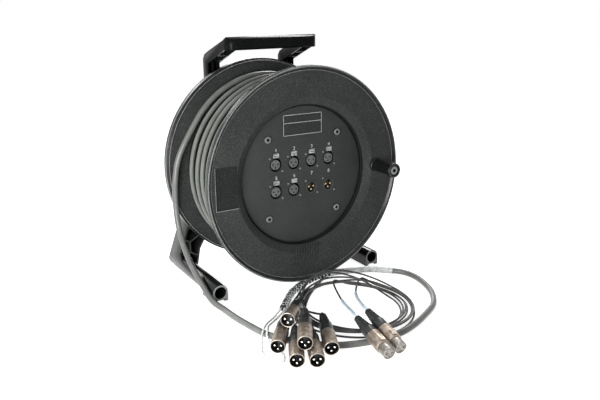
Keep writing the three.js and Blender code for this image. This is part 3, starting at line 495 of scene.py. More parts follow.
def catmullRom(points, spacing):
    # a smooth line through points, evenly spaced, the same as the solids follow
    spots = [np.array(p, float) for p in points]
    spots = [spots[0] * 2 - spots[1]] + spots + [spots[-1] * 2 - spots[-2]]
    line = []
    for i in range(len(spots) - 3):
        p0, p1, p2, p3 = spots[i:i + 4]
        gaps = [max(np.linalg.norm(b - a) ** 0.5, tiny) for a, b in ((p0, p1), (p1, p2), (p2, p3))]
        slope1 = (p1 - p0) / gaps[0] - (p2 - p0) / (gaps[0] + gaps[1]) + (p2 - p1) / gaps[1]
        slope2 = (p2 - p1) / gaps[1] - (p3 - p1) / (gaps[1] + gaps[2]) + (p3 - p2) / gaps[2]
        slope1, slope2 = slope1 * gaps[1], slope2 * gaps[1]
        for t in np.linspace(0, 1, 24, endpoint=False):
            a = 2 * t ** 3 - 3 * t ** 2 + 1
            b = t ** 3 - 2 * t ** 2 + t
            c = -2 * t ** 3 + 3 * t ** 2
            d = t ** 3 - t ** 2
            line.append(a * p1 + b * slope1 + c * p2 + d * slope2)
    line.append(spots[-2])
    return evenly(np.array(line), spacing)


def evenly(line, spacing):
    steps = np.linalg.norm(np.diff(line, axis=0), axis=1)
    along = np.concatenate([[0], np.cumsum(steps)])
    count = max(2, int(round(along[-1] / spacing)) + 1)
    places = np.linspace(0, along[-1], count)
    return np.stack([np.interp(places, along, line[:, k]) for k in range(3)], axis=1)


def carriedFrames(line):
    # directions across a line that don't twist along it
    ways = np.gradient(line, axis=0)
    ways /= np.linalg.norm(ways, axis=1)[:, None]
    across = np.cross(ways[0], (0, 0, 1))
    if np.linalg.norm(across) < 0.1:
        across = np.cross(ways[0], (0, 1, 0))
    across /= np.linalg.norm(across)
    frames = []
    for way in ways:
        across = across - way * across.dot(way)
        across /= np.linalg.norm(across)
        frames.append((way, across, np.cross(way, across)))
    return frames


def tubeMesh(line, radius, sides, section=None):
    # a tube along a line; section(turn, place) gives the share of the radius there
    frames = carriedFrames(line)
    bm = bmesh.new()
    layer = bm.loops.layers.uv.new("along")
    rings = []
    along = distances(line)
    for point, (_, across, up), place in zip(line, frames, along):
        ring = []
        for i in range(sides):
            turn = 2 * math.pi * i / sides
            reach = radius * (section(turn, place) if section else 1.0)
            spot = point + across * math.cos(turn) * reach + up * math.sin(turn) * reach
            ring.append(bm.verts.new(spot))
        rings.append(ring)
    for k, (a, b) in enumerate(zip(rings, rings[1:])):
        for i in range(sides):
            j = (i + 1) % sides
            face = bm.faces.new([a[i], a[j], b[j], b[i]])
            spots = [(along[k], i), (along[k], i + 1), (along[k + 1], i + 1), (along[k + 1], i)]
            for loop, (u, v) in zip(face.loops, spots):
                loop[layer].uv = (u, v / sides)
    bm.faces.new(rings[0][::-1])
    bm.faces.new(rings[-1])
    return facedOut(bm)


def toMetres(points):
    return [[v * mm for v in p] for p in points]


# Camera: the photograph's place and lens, solved from the outlines of the drum

cameraPlace = {
    "target": (-13.66, 0.0, -31.66),    # from the middle of the front flange's face, mm
    "azimuth": -31.19,
    "elevation": 16.36,
    "roll": -0.37,
    "distance": 969.5,
    "focalPixels": 688.18,
    "imageWidth": 600,
    "sensorWidth": 36.0,
}


def makeCamera(place):
    turn = math.radians(place["azimuth"])
    rise = math.radians(place["elevation"])
    roll = math.radians(place["roll"])
    forward = Vector((-math.sin(turn) * math.cos(rise), math.cos(turn) * math.cos(rise), -math.sin(rise)))
    right = Vector((math.cos(turn), math.sin(turn), 0))
    up = right.cross(forward)
    rolledRight = right * math.cos(roll) + up * math.sin(roll)
    rolledUp = -right * math.sin(roll) + up * math.cos(roll)
    target = onAxle(*place["target"])
    data = bpy.data.cameras.new("camera")
    data.sensor_width = place["sensorWidth"]
    data.lens = place["focalPixels"] / place["imageWidth"] * place["sensorWidth"]
    data.clip_start = 0.01
    camera = bpy.data.objects.new("camera", data)
    bpy.context.scene.collection.objects.link(camera)
    basis = Matrix((rolledRight, rolledUp, -forward)).transposed().to_4x4()
    camera.matrix_world = Matrix.Translation(target - forward * place["distance"] * mm) @ basis
    bpy.context.scene.camera = camera


makeCamera(cameraPlace)
print("camera placed")


# Loose cable: off the drum, down past the left foot and round in front of the drum

def follow(start, heading, distance):
    turn = math.radians(heading)
    return [start[0] + distance * math.cos(turn), start[1] + distance * math.sin(turn), start[2]]


footX = 131.75
cable = {
    "radius": 4.2,
    "layRadius": 132.4,
    "layDepth": 127.0,
    "layTurns": [75, 84, 93, 102, 111, 120, 129, 137, 143],
    "fallX": -(footX + 11.4 + 4.2 + 0.6),
    "end": [137.4, -97.5, 5.0],
    "endHeading": 131,
    "lead": 8.0,
}


grip = {
    "sleeveRadius": 5.0,
    "sleeveEnd": [48.6, -55.7, 5.6],
    "sleeveHeading": 176,
    "radius": 5.8,
    "ropeRadius": 1.5,
    "wires": 4,
    "wirePitch": 29.0,
    "wireRadius": 0.48,
}


def cableRoute(c):
    lay = []
    for turn in c["layTurns"]:
        angle = math.radians(turn)
        point = onAxle(c["layRadius"] * math.cos(angle), c["layDepth"], c["layRadius"] * math.sin(angle))
        lay.append([v / mm for v in point])
    x = c["fallX"]
    fall = [[-137, 56.5, 197], [-144, 57.5, 177], [x, 57.1, 155.6], [x, 61.2, 131.7], [x, 60.9, 108.6],
            [x, 55.7, 86.9], [x, 45.4, 68.1], [x, 26.3, 48], [x, -0.2, 31], [x, -30.6, 18], [x, -58.4, 8.5]]
    floor = [[-142.5, -84, 4.6], [-140.1, -112.4, 4.4], [-135, -145.6, 4.4], [-127, -178.8, 4.4],
             [-110.9, -206.9, 4.4], [-89.8, -231, 4.4], [-65.2, -249.1, 4.4], [-30.5, -260.7, 4.4],
             [-7.3, -262.7, 4.4], [19.3, -262.2, 4.4], [49, -253.2, 4.4], [80.1, -238.1, 4.4],
             [104.3, -224, 4.4], [119.3, -209.9, 4.4], [136.4, -184.8, 4.4], [147.5, -155.6, 4.4],
             [151.5, -132.5, 4.4], [149.5, -114.4, 4.5]]
    return lay + fall + floor + [follow(c["end"], c["endHeading"], -c["lead"]), c["end"]]


sleeveRoute = [[112, -74.5, 5.2], [88.2, -64, 5.2],
               follow(grip["sleeveEnd"], grip["sleeveHeading"], -8), grip["sleeveEnd"]]
cableLine = catmullRom(toMetres(cableRoute(cable) + sleeveRoute), 0.003)
cablePiece = meshObject(tubeMesh(cableLine, cable["radius"] * mm, 20), "CableRun")
dress(cablePiece, jacketPvc, "stand", ["cable_run"])

gripRoute = [follow(grip["sleeveEnd"], grip["sleeveHeading"], 0.3),
             follow(grip["sleeveEnd"], grip["sleeveHeading"], 8),
             [13.8, -60.1, 5.9], [-16.4, -73.2, 5.9], [-37, -86.5, 5.9], [-57, -106, 5.9], [-74, -125, 5.9]]
ropeRoute = [[-76.1, -123.5, 5.9], [-80, -127, 5.4], [-97, -139.5, 3.5], [-112, -153, 6.5], [-123.5, -166, 9.9],
             [-129.7, -173.7, 11], [-136, -181.5, 9.6], [-145, -196, 4.5], [-152, -212, 1.9], [-153, -228, 1.7],
             [-150, -240, 1.7], [-142, -243, 1.7], [-135.5, -235, 1.7], [-132, -218, 1.7], [-134.5, -201, 3],
             [-133, -188, 7.5], [-126, -177, 11], [-119.5, -168, 9.6], [-108, -156, 6.3], [-94, -143.5, 3.5],
             [-76.5, -131, 5], [-72.7, -127.4, 5.9]]

sleeveLine = catmullRom(toMetres([follow(cable["end"], cable["endHeading"], 0.3),
                                  follow(cable["end"], cable["endHeading"], 8)] + sleeveRoute), 0.003)
sleevePiece = meshObject(tubeMesh(sleeveLine, grip["sleeveRadius"] * mm, 24), "BreakoutSleeve")
dress(sleevePiece, clearTube, "stand", ["breakout_sleeve"])

gripLine = catmullRom(toMetres(gripRoute), 0.003)


def netMesh(line, g):
    # wires wound both ways round the core, each crossing over and under the others
    frames = carriedFrames(line)
    along = distances(line)
    parts = []
    base = (g["radius"] - 0.9) * mm
    for hand in (1, -1):
        for wire in range(g["wires"]):
            path = []
            for point, (_, across, up), place in zip(line, frames, along):
                turn = 2 * math.pi * (wire / g["wires"] + hand * place / (g["wirePitch"] * mm))
                over = 0.45 * mm * math.sin(turn * g["wires"] + (0 if hand > 0 else math.pi))
                reach = base + over * 0.8
                path.append(point + (across * math.cos(turn) + up * math.sin(turn)) * reach)
            parts.append(tubeMesh(np.array(path), g["wireRadius"] * mm, 5))
    return merge(*parts)


gripPiece = assembled("PullingGrip", [
    (tubeMesh(gripLine, (grip["radius"] - 1.1) * mm, 18), blackNylon),
    (netMesh(catmullRom(toMetres(gripRoute), 0.0012), grip), netWire),
])
dress(gripPiece, None, "stand", ["pulling_grip"])

ropeLine = catmullRom(toMetres(ropeRoute), 0.0012)
ropePiece = meshObject(
    tubeMesh(ropeLine, grip["ropeRadius"] * mm, 12,
             lambda turn, place: 0.88 + 0.12 * math.cos(3 * turn - place / (1.4 * mm))), "GripLoop")
dress(ropePiece, ropeNylon, "stand", ["grip_loop"], smoothAngle=60)
print("cable, sleeve, grip and loop made")


# Cable plugs

plugSize = {
    "length": 76.0,
    "shell": 9.2,
    "shellLength": 33.0,
    "cup": 8.35,
    "cupDepth": 12.0,
    "collar": 8.4,
    "collarEnd": 51.0,
    "boot": 7.4,
    "bootTip": 4.4,
    "barrel": 7.8,
    "barrelLength": 13.0,
    "wideEnd": 38.0,
}
plugs = [
    {"mouth": (-117.3, -212.1, 35.7), "yaw": 42.9, "tilt": -5.4, "via": [(-52, -138, 17)], "land": (1, 112)},
    {"mouth": (-141.4, -229.7, 14.9), "yaw": 37.8, "tilt": 3.6, "via": [(-84, -154, 14)], "land": (0, 128)},
    {"mouth": (-124.4, -263.9, 30.3), "yaw": 31.3, "tilt": 3.3, "via": [(-70, -179, 25)], "land": (1, 151)},
    {"mouth": (-137.3, -266.9, 13.1), "yaw": 29.2, "tilt": 2.1, "via": [(-87, -183, 12)], "land": (0, 162)},
    {"mouth": (-117.4, -279, 13.4), "yaw": 25.3, "tilt": 2.6, "via": [(-74, -193, 14)], "land": (1, 176)},
    {"mouth": (-91, -268.6, 16.1), "yaw": 25.2, "tilt": 4, "via": [(-51.5, -188, 17)], "land": (2, 168)},
    {"mouth": (-35.3, -306.3, 10.8), "yaw": 5.7, "tilt": 9.4, "via": [(-14, -203, 16), (7, -145, 8)],
     "land": (2, 62)},
    {"mouth": (-14.2, -301.7, 9.9), "yaw": 4.4, "tilt": 12.7, "via": [(9, -196, 15), (36, -140, 8.6)],
     "land": (1, 32)},
]
contactPlaces = [(-3.8, 0.6), (3.8, 0.6), (0.0, -4.0)]


def plugFrame(plug):
    # local +Y runs from the mouth to the boot
    turn, rise = math.radians(plug["yaw"]), math.radians(plug["tilt"])
    back = Vector((math.sin(turn) * math.cos(rise), math.cos(turn) * math.cos(rise), math.sin(rise)))
    up = Vector((-math.sin(turn) * math.sin(rise), -math.cos(turn) * math.sin(rise), math.cos(rise)))
    side = back.cross(up)
    basis = Matrix((side, back, up)).transposed().to_4x4()
    return Matrix.Translation(Vector(plug["mouth"]) * mm) @ basis, back


def rodMesh(radius, y0, y1, x=0.0, z=0.0, sides=16, rounding=0.3):
    bm = lathe([(0, y0), (radius, y0), (radius, y1), (0, y1)], sides, rounding)
    bmesh.ops.translate(bm, vec=(x * mm, 0, z * mm), verts=bm.verts)
    return bm


def bootMesh(start, s):
    # nut, then a soft boot with grooves round it
    profile = [(0, start), (s["collar"], start), (s["collar"], s["collarEnd"]), (s["boot"], s["collarEnd"])]
    grooves = 6
    reach = s["length"] - s["collarEnd"]
    for k in range(grooves):
        place = s["collarEnd"] + reach * (k + 0.3) / grooves
        stop = s["collarEnd"] + reach * (k + 0.8) / grooves
        radius = s["boot"] + (s["bootTip"] - s["boot"]) * (place - s["collarEnd"]) / reach
        profile += [(radius, place), (radius - 0.9, place + 0.2), (radius - 0.9, stop), (radius, stop + 0.1)]
    profile += [(s["bootTip"], s["length"]), (0, s["length"])]
    return lathe(profile, 40, 0.2)


def pinPlug(name, s, place):
    shell = lathe([(0, s["cupDepth"]), (s["cup"], s["cupDepth"]), (s["cup"], 1), (s["shell"], 1),
                   (s["shell"], s["shellLength"]), (0, s["shellLength"])], 48, 0.45)
    edge = lathe([(s["cup"], 0), (s["shell"], 0), (s["shell"], 1.2), (s["cup"], 1.2)], 48, 0.4, closed=True)
    # a thin black sleeve inside the metal cup: painted shade
    cupShade = lathe([(s["cup"] - 0.3, 0.6), (s["cup"], 0.6), (s["cup"], 11.3), (s["cup"] - 0.3, 11.3)], 48,
                   closed=True)
    insert = lathe([(0, 11.2), (s["cup"] - 0.1, 11.2), (s["cup"] - 0.1, 11.9), (0, 11.9)], 32, 0.1)
    pins = merge(*[rodMesh(1.2, 1.5, s["cupDepth"] - 0.9, x, z) for x, z in contactPlaces])
    parts = [(shell, champagneZinc), (edge, rimZinc), (cupShade, blackNylon),
             (bootMesh(s["shellLength"] + 0.1, s), bootNylon), (insert, blackNylon), (pins, silverPins)]
    return assembled(name, parts, place)


def socketPlug(name, s, place):
    nose = lathe([(0, 1.2), (6.9, 1.2), (7.0, 0), (s["barrel"], 0), (s["barrel"], s["barrelLength"]),
                  (0, s["barrelLength"])], 48, 0.45)
    shell = lathe([(0, s["barrelLength"] + 0.1), (s["barrel"], s["barrelLength"] + 0.1),
                   (s["shell"], s["barrelLength"] + 1), (s["shell"], s["wideEnd"]),
                   (0, s["wideEnd"])], 48, 0.45)
    insert = lathe([(0, 0.5), (6.8, 0.5), (6.8, 1.1), (0, 1.1)], 40, 0.1)
    insert = carved(insert, [rodMesh(1.5, -1, 2, x, z) for x, z in contactPlaces])
    parts = [(nose, noseZinc), (shell, champagneZinc), (bootMesh(s["wideEnd"] + 0.1, s), bootNylon),
             (insert, noseZinc)]
    return assembled(name, parts, place)


def makePlug(i, plug, s):
    place, _ = plugFrame(plug)
    make, node = (pinPlug, f"pin_plug_{i + 1}") if i < 6 else (socketPlug, f"socket_plug_{i + 1}")
    piece = make(f"Plug{i + 1}", s, place)
    return dress(piece, None, "stand", [node])


plugPieces = [makePlug(i, plug, plugSize) for i, plug in enumerate(plugs)]
print("plugs made")


# Fan-out tails: from beside the sleeve's end round the coil to the plugs

coil = {
    "x": 12.8,
    "y": -167.7,
    "outer": 84.5,
    "pitch": 6.5,
    "startTurn": -70.0,
    "tailRadius": 1.4,
    "sleeveRadius": 2.1,
    "sleeveReach": (114.0, 126.0),
    "topZ": 8.0,
    "spread": (4.0, 3.0, 8.0, 22.0, 2.0, 6.0, 0.0, 0.0),
    "rise": (8.0, 7.0, 6.0, 20.0, 5.0, 17.0, 0.0, 0.0),
    "exit": (40.0, -63.5, 3.0),
}


def strandRadius(strand, angle):
    return coil["outer"] - (strand + (angle - coil["startTurn"]) / 360) * coil["pitch"]


def coilPoint(radius, angle, z):
    turn = math.radians(angle)
    return (coil["x"] + radius * math.cos(turn), coil["y"] + radius * math.sin(turn), z)


def tailRoute(i, plug):
    _, back = plugFrame(plug)
    mouth = Vector(plug["mouth"])
    # it starts inside the boot
    points = [tuple(mouth + back * (plugSize["length"] + step)) for step in (-22, 7)]
    points += plug["via"]
    strand, toTurn = plug["land"]
    if i >= 6:
        # the socket plugs' tails hook over the coil before they lie down on it
        points.append(coilPoint(strandRadius(strand, toTurn) + 7, toTurn + 14, coil["topZ"] + 3.5))
    points.append(coilPoint(strandRadius(strand, toTurn), toTurn, coil["topZ"]))
    # round the coil, on a lane that drifts a little, back to the break-out
    lane = coil["outer"] - 2.9 * ((i * 5) % 8)
    startRadius = strandRadius(strand, toTurn)
    angle = toTurn - 14
    last = -226
    while angle > last:
        share = min(1, (toTurn - angle) / 70)
        drift = 1.6 * math.sin(math.radians(angle * 2 + i * 77))
        drift += 1.2 * math.sin(math.radians(angle * 3.1 + i * 131))
        # behind the middle the tails spread and lie on one another
        behind = max(0.0, math.sin(math.radians(angle))) ** 2 * share if angle > -90 else 0.0
        radius = startRadius + (lane - startRadius) * share + drift + coil["spread"][i] * behind
        height = 1.6 + 2.6 * (i % 3) + coil["rise"][i] * behind
        points.append(coilPoint(radius, angle, coil["topZ"] + (height - coil["topZ"]) * share))
        angle -= 13
    x, y, z = coil["exit"]
    side = (i - 3.5) * 0.9
    points.append((x - 34, y - 16 - abs(side) * 1.5, z + side * 0.2 + 1))
    points.append((x - 12, y - 2 + side * 0.5, z + 0.8))
    points.append((x, y + side * 0.2, z))
    return points


def tailSleeve(i, line, reach):
    # a shrink sleeve that starts inside the boot
    fromPlug = line[::-1]
    along = distances(fromPlug)
    part = fromPlug[(along > 12 * mm) & (along < reach * mm)]
    piece = meshObject(tubeMesh(part, coil["sleeveRadius"] * mm, 14), f"TailSleeve{i + 1}")
    return dress(piece, blueSleeve, "stand")


for i, (plug, plugPiece) in enumerate(zip(plugs, plugPieces)):
    line = catmullRom(toMetres(tailRoute(i, plug)), 0.0025)[::-1]
    tail = meshObject(tubeMesh(line, coil["tailRadius"] * mm, 10), f"Tail{i + 1}")
    replaced = [f"tail_{i + 1}"] + (["tail_coil"] if i == 0 else [])
    dress(tail, tailPvc, "stand", replaced)
    more = [f"plug_latch_{i + 1}", tailSleeve(i, line, coil["sleeveReach"][i - 6])] if i >= 6 else []
print("tails made")


# Front flange: rim, sunk middle, ledge under the panel, pocket, ejector marks and a ribbed relief

flange = {
    "sides": 192,
    "rimFoot": 5.8,
    "rimCrown": 3.8,
    "rimEdge": 1.0,
    "lineDepth": 0.6,
    "plate": 4.5,
    "mouth": 112.0,
    "recess": 101.5,
    "slope": 8.0,
    "ledgeInner": 65.0,
    "ledgeFront": 16.6,
    "ledgeBack": 20.6,
    "tubWall": 3.0,
    "pocket": (-142.0, -109.0, -28.5, 30.5),
    "pocketDepth": 2.0,
    "markRadius": 4.6,
    "markDepth": 0.5,
    "markPlace": 140.6,
    "relief": (-23.0, 18.0, -130.0, -98.0),
    "reliefDepth": 0.7,
    "ribs": 9,
    "ribShare": 0.28,    # half a rib's width as a share of the pitch
    "ribMargin": 3.5,
    "knobX": 117.0,
    "knobZ": 3.0,
    "knobPad": 9.5,
    "padDepth": 9.5,
    "boltHole": 4.3,
}


def ringLine(radius, y, width, depth=0.5):
    # a thin pale ring let into a rim: a painted highlight line along its edge
    return lathe([(radius, y), (radius + width, y), (radius + width, y + depth), (radius, y + depth)], 192,
                 closed=True)


def frontFlange(f):
    outer = drumRadius
    profile = [
        (f["ledgeInner"], f["ledgeFront"]), (f["recess"], f["ledgeFront"]), (f["recess"], f["slope"]),
        (f["mouth"], 0), (outer - f["rimFoot"] - 1.1, 0), (outer - f["rimFoot"] - 0.7, -0.4),
        (outer - f["rimFoot"], -0.4), (outer - f["rimCrown"], 0.1 - rimProud),
        (outer - f["rimEdge"], 0.1 - rimProud), (outer, f["rimEdge"] - rimProud),
        (outer, 0.1), (outer - f["lineDepth"], 0.4),
        (outer - f["lineDepth"], 1.0), (outer, 1.3), (outer, f["plate"]),
        (f["mouth"] + f["plate"], f["plate"]),
        (f["recess"] + f["tubWall"], f["slope"] + f["plate"]), (f["recess"] + f["tubWall"], f["ledgeBack"]),
        (f["ledgeInner"], f["ledgeBack"]),
    ]
    piece = meshObject(lathe(profile, f["sides"], 0.5, closed=True), "FrontFlange")
    x0, x1, z0, z1 = f["pocket"]
    a, b, c, d = f["relief"]
    tools = [prism(rectangle(x0, x1, z0, z1), -1, f["pocketDepth"], 1.2),
             prism(rectangle(a, b, c, d), -1, f["reliefDepth"], 1.5)]
    for turn in (90, 180, 270):
        x = f["markPlace"] * math.cos(math.radians(turn))
        z = f["markPlace"] * math.sin(math.radians(turn))
        tools.append(prism(circlePoints(f["markRadius"], 32, x, z), -1, f["markDepth"]))
    tools.append(prism(circlePoints(f["boltHole"], 32, f["knobX"], f["knobZ"]), -1, f["plate"] + 1))
    carve(piece, tools)
    # painted highlight lines along the front rim
    lines = merge(ringLine(outer - 2, -rimProud, 1.5, 0.8), ringLine(outer - 1, 2.0, 1.03),
                  ringLine(outer - f["rimFoot"] - 0.9, -0.45, 0.6))
    rimGlint = meshObject(lines, "FrontRimHighlight", movedTo())
    dress(rimGlint, rimHighlightAbs, "drum")
    near = 0.1

    def finish(x, y, z, normal):
        sunk = x0 - near < x < x1 + near and z0 - near < z < z1 + near and abs(y - f["pocketDepth"]) < near
        # painted shade: the recess wall and ledge in the gap round the panel take the pocket's dark finish
        shadedGap = math.hypot(x, z) < f["recess"] + 0.2 and y > f["slope"] + 0.6
        onRim = math.hypot(x, z) > outer - f["rimFoot"] - 1.3
        return 1 if sunk or shadedGap else 2 if onRim else 0

    finishFaces(piece, (grainedAbs, pocketAndGapShadeAbs, rimAbs), finish)
    piece.data.transform(movedTo())
    # a pale strip along the pocket's left and bottom edges: painted highlight
    edges = merge(prism(rectangle(x0 - 0.4, x0 + 0.3, z0, z1), -0.15, 0.3, 0.15),
                  prism(rectangle(x0 - 0.4, x1, z0 - 0.4, z0 + 0.3), -0.15, 0.3, 0.15))
    edge = meshObject(edges, "PocketEdgeHighlight", movedTo())
    dress(edge, paintedHighlightAbs, "drum")
    pad = meshObject(lathe([(f["boltHole"], f["plate"] - 0.5), (f["knobPad"], f["plate"] - 0.5),
                            (f["knobPad"], f["padDepth"]), (f["boltHole"], f["padDepth"])], 40, 0.3,
                           closed=True),
                     "KnobPad", movedTo(f["knobX"], 0, f["knobZ"]))
    dress(pad, grainedAbs, "drum")
    return dress(piece, None, "drum", ["front_flange"])


frontFlange(flange)


def reliefRibs(f):
    # upright ribs that stand in the shallow panel of the relief
    x0, x1, z0, z1 = f["relief"]
    pitch = (x1 - x0) / (f["ribs"] + 0.5)
    half = pitch * f["ribShare"]
    low, high = z0 + f["ribMargin"], z1 - f["ribMargin"]
    bars = []
    for k in range(f["ribs"]):
        x = x0 + pitch * (k + 0.75)
        bars.append(prism(rectangle(x - half, x + half, low, high), 0.1, f["reliefDepth"] + 0.3, 0.4))
    piece = meshObject(merge(*bars), "ReliefRibs", movedTo())
    return dress(piece, grainedAbs, "drum")


reliefRibs(flange)


# Back flange and barrel

backFlangeSize = {
    "sides": 192,
    "plateFront": 139.5,
    "plateBack": 144.0,
    "rimChamfer": 5.0,
    "rimEnd": 153.0,
    "rimWall": 3.0,
    "hubBore": 17.1,
    "hubOuter": 21.6,
    "hubFront": 72.0,
    "hubRear": 152.0,
    "hubWall": 4.5,
    "ribs": 8,
    "ribThick": 3.0,
}


def backFlange(b):
    outer = drumRadius
    profile = [
        (b["hubBore"], b["hubFront"]), (b["hubOuter"], b["hubFront"]), (b["hubOuter"], b["plateFront"]),
        (outer - b["rimChamfer"], b["plateFront"]), (outer - 2.8, b["plateFront"] + 0.9),
        (outer - 2.5, b["plateFront"] + 2.6), (outer - 0.8, b["plateFront"] + 2.9),
        (outer, b["plateFront"] + 3.8), (outer, b["rimEnd"]), (outer - b["rimWall"], b["rimEnd"]),
        (outer - b["rimWall"], b["plateBack"]), (b["hubOuter"] + b["hubWall"], b["plateBack"]),
        (b["hubOuter"] + b["hubWall"], b["hubRear"]), (b["hubBore"], b["hubRear"]),
    ]
    ribs = []
    for k in range(b["ribs"]):
        bar = prism(rectangle(b["hubOuter"] + 2, outer - 2, -b["ribThick"] / 2, b["ribThick"] / 2),
                    b["plateBack"] - 0.5, b["hubRear"] - 1, 0.6)
        bmesh.ops.rotate(bar, cent=(0, 0, 0), matrix=Matrix.Rotation(2 * math.pi * k / b["ribs"], 3, "Y"),
                         verts=bar.verts)
        ribs.append(bar)
    turned = lathe(profile, b["sides"], 0.5, closed=True)
    piece = meshObject(merge(turned, *ribs), "BackFlange")
    finishFaces(piece, (grainedAbs, rimAbs),
                lambda x, y, z, normal: math.hypot(x, z) > outer - b["rimChamfer"] - 1)
    piece.data.transform(movedTo())
    # painted highlight lines along the back rim
    lines = merge(ringLine(outer - 3.9, b["plateFront"] + 0.2, 1, 1),
                  ringLine(outer - 1, b["plateFront"] + 4.4, 1.03, 2.6))
    dress(meshObject(lines, "BackRimHighlight", movedTo()), rimHighlightAbs, "drum")
    return dress(piece, None, "drum", ["back_flange"])


backFlange(backFlangeSize)

barrelSize = {
    "inner": 104.8,
    "outer": 107.8,
    "front": 12.8,
    "back": 139.2,
}


def drumBarrel(q):
    profile = [(q["inner"], q["front"]), (q["outer"], q["front"]), (q["outer"], q["back"]),
               (q["inner"], q["back"])]
    barrel = meshObject(lathe(profile, 96, 0.4, closed=True), "Barrel", movedTo())
    return dress(barrel, frameAbs, "drum", ["drum_core"])


drumBarrel(barrelSize)
print("flanges made")


# Cable on the drum: a close lower layer and an outer layer wound over it

winding = {
    "strand": 4.2,
    "lowerRadius": 122.6,
    "lowerFront": 19.0,
    "lowerBack": 134.5,
    "outerRadius": 131.6,
    "outerStart": 22.0,
    "outerPitch": 18.4,
    "outerLoops": 5,
    "startTurn": 75.0,
    "stepsPerLoop": 72,
    "drift": 1.5,
}


def woundLine(radius, start, pitch, loops, startTurn, drift=0.0, sink=0.0):
    line = []
    steps = winding["stepsPerLoop"]
    for step in range(int(loops * steps) + 1):
        turns = step / steps
        angle = math.radians(startTurn) + turns * 2 * math.pi
        wander = drift * math.sin(angle * 1.37 + 0.6) * min(1, turns) * min(1, loops - turns)
        # both ends sink between the lower layers
        clear = min(1, min(turns, loops - turns) / 0.12)
        lift = -sink * (1 - clear * clear * (3 - 2 * clear))
        y = start + pitch * turns + wander
        line.append(onAxle((radius + lift) * math.cos(angle), y, (radius + lift) * math.sin(angle)))
    return np.array(line)


def windCable(w):
    pitch = 2 * w["strand"] + 0.25
    loops = (w["lowerBack"] - w["lowerFront"]) / pitch
    lowerLine = woundLine(w["lowerRadius"], w["lowerFront"], pitch, loops, 0)
    lower = meshObject(tubeMesh(lowerLine, w["strand"] * mm, 12), "LowerWinding")
    dress(lower, shadedLowerPvc, "drum", ["winding_core"])
    outerLine = woundLine(w["outerRadius"], w["outerStart"], w["outerPitch"], w["outerLoops"],
                          w["startTurn"], w["drift"], w["outerRadius"] - w["lowerRadius"])
    outer = meshObject(tubeMesh(outerLine, w["strand"] * mm, 16), "OuterWinding")
    dress(outer, shadedWoundPvc, "drum", ["cable_winding"])


windCable(winding)
print("winding made")


# Connector panel with its screws, numbers and bare label plate

panel = {
    "front": 14.3,
    "back": 16.3,
    "radius": 98.5,
    "columnPitch": 29.0,
    "rowPitch": 39.2,
    "hole": 9.65,
    "slotHalf": 5.05,
    "slotLow": 9.0,
    "slotHigh": 17.2,
    "screwSpan": 56.6,
    "screwHead": 4.75,
    "screwThick": 2.4,
    "screwDrive": 2.7,
    "driveDepth": 2.2,
    "numberHeight": 5.2,
    "numberRise": 19.6,
}
places = [(column * panel["columnPitch"], row * panel["rowPitch"])
          for row in (0.5, -0.5) for column in (-1.5, -0.5, 0.5, 1.5)]
screwPlaces = [(x * panel["screwSpan"], z * panel["screwSpan"])
               for x, z in ((-1, 1), (1, 1), (-1, -1), (1, -1))]


def connectorPanel(p):
    profile = [(0, p["front"]), (p["radius"], p["front"]), (p["radius"], p["back"]), (0, p["back"])]
    disc = meshObject(lathe(profile, 160, 0.5), "ConnectorPanel")
    holes = [prism(circlePoints(p["hole"], 40, x, z), p["front"] - 1, p["back"] + 1) for x, z in places]
    carve(disc, [merge(*holes)])
    slots = [prism(rectangle(x - p["slotHalf"], x + p["slotHalf"], z + p["slotLow"], z + p["slotHigh"]),
                   p["front"] - 1, p["back"] + 1, 1.0) for x, z in places[:6]]
    carve(disc, [merge(*slots)])
    disc.data.transform(movedTo())
    return dress(disc, panelCoat, "drum", ["connector_panel"])


connectorPanel(panel)


def shadedDrive(piece, reach, front):
    # painted shade: the hexagon hole's walls and floor are drawn in black nylon
    finishFaces(piece, (zincSteel, blackNylon),
                lambda x, y, z, normal: math.hypot(x, z) < reach and y > front + 0.3)
    return piece


def panelScrew(i, x, z, p):
    back = p["front"] - 0.3
    front = back - p["screwThick"]
    head = meshObject(lathe([(0, front), (p["screwHead"], front), (p["screwHead"], back), (2.2, back),
                             (2.2, back + 8), (0, back + 8)], 40, 0.8), f"PanelScrew{i + 1}")
    carve(head, [prism(circlePoints(p["screwDrive"], 6), front - 1, front + p["driveDepth"])])
    shadedDrive(head, p["screwDrive"] + 0.1, front).data.transform(movedTo(x, 0, z))
    dress(head, None, "drum", [f"panel_screw_{i + 1}"])


for i, (x, z) in enumerate(screwPlaces):
    panelScrew(i, x, z, panel)

connector = {
    "insert": 7.1,
    "insertFront": 14.8,
    "floor": 28.0,
    "contact": 1.5,
    "bodyFront": 16.6,
    "bodyBack": 34.0,
    "body": 11.6,
    "rim": 9.35,
    "cup": 7.75,
    "cupFront": 13.6,
    "cupFloor": 26.0,
    "housingHalf": 7.0,
    "housingLow": 9.8,
    "housingHigh": 19.5,
    "latchHalf": 4.75,
    "latchLow": 10.1,
    "latchHigh": 16.9,
    "latchFront": 12.3,
    "latchBack": 22.0,
}


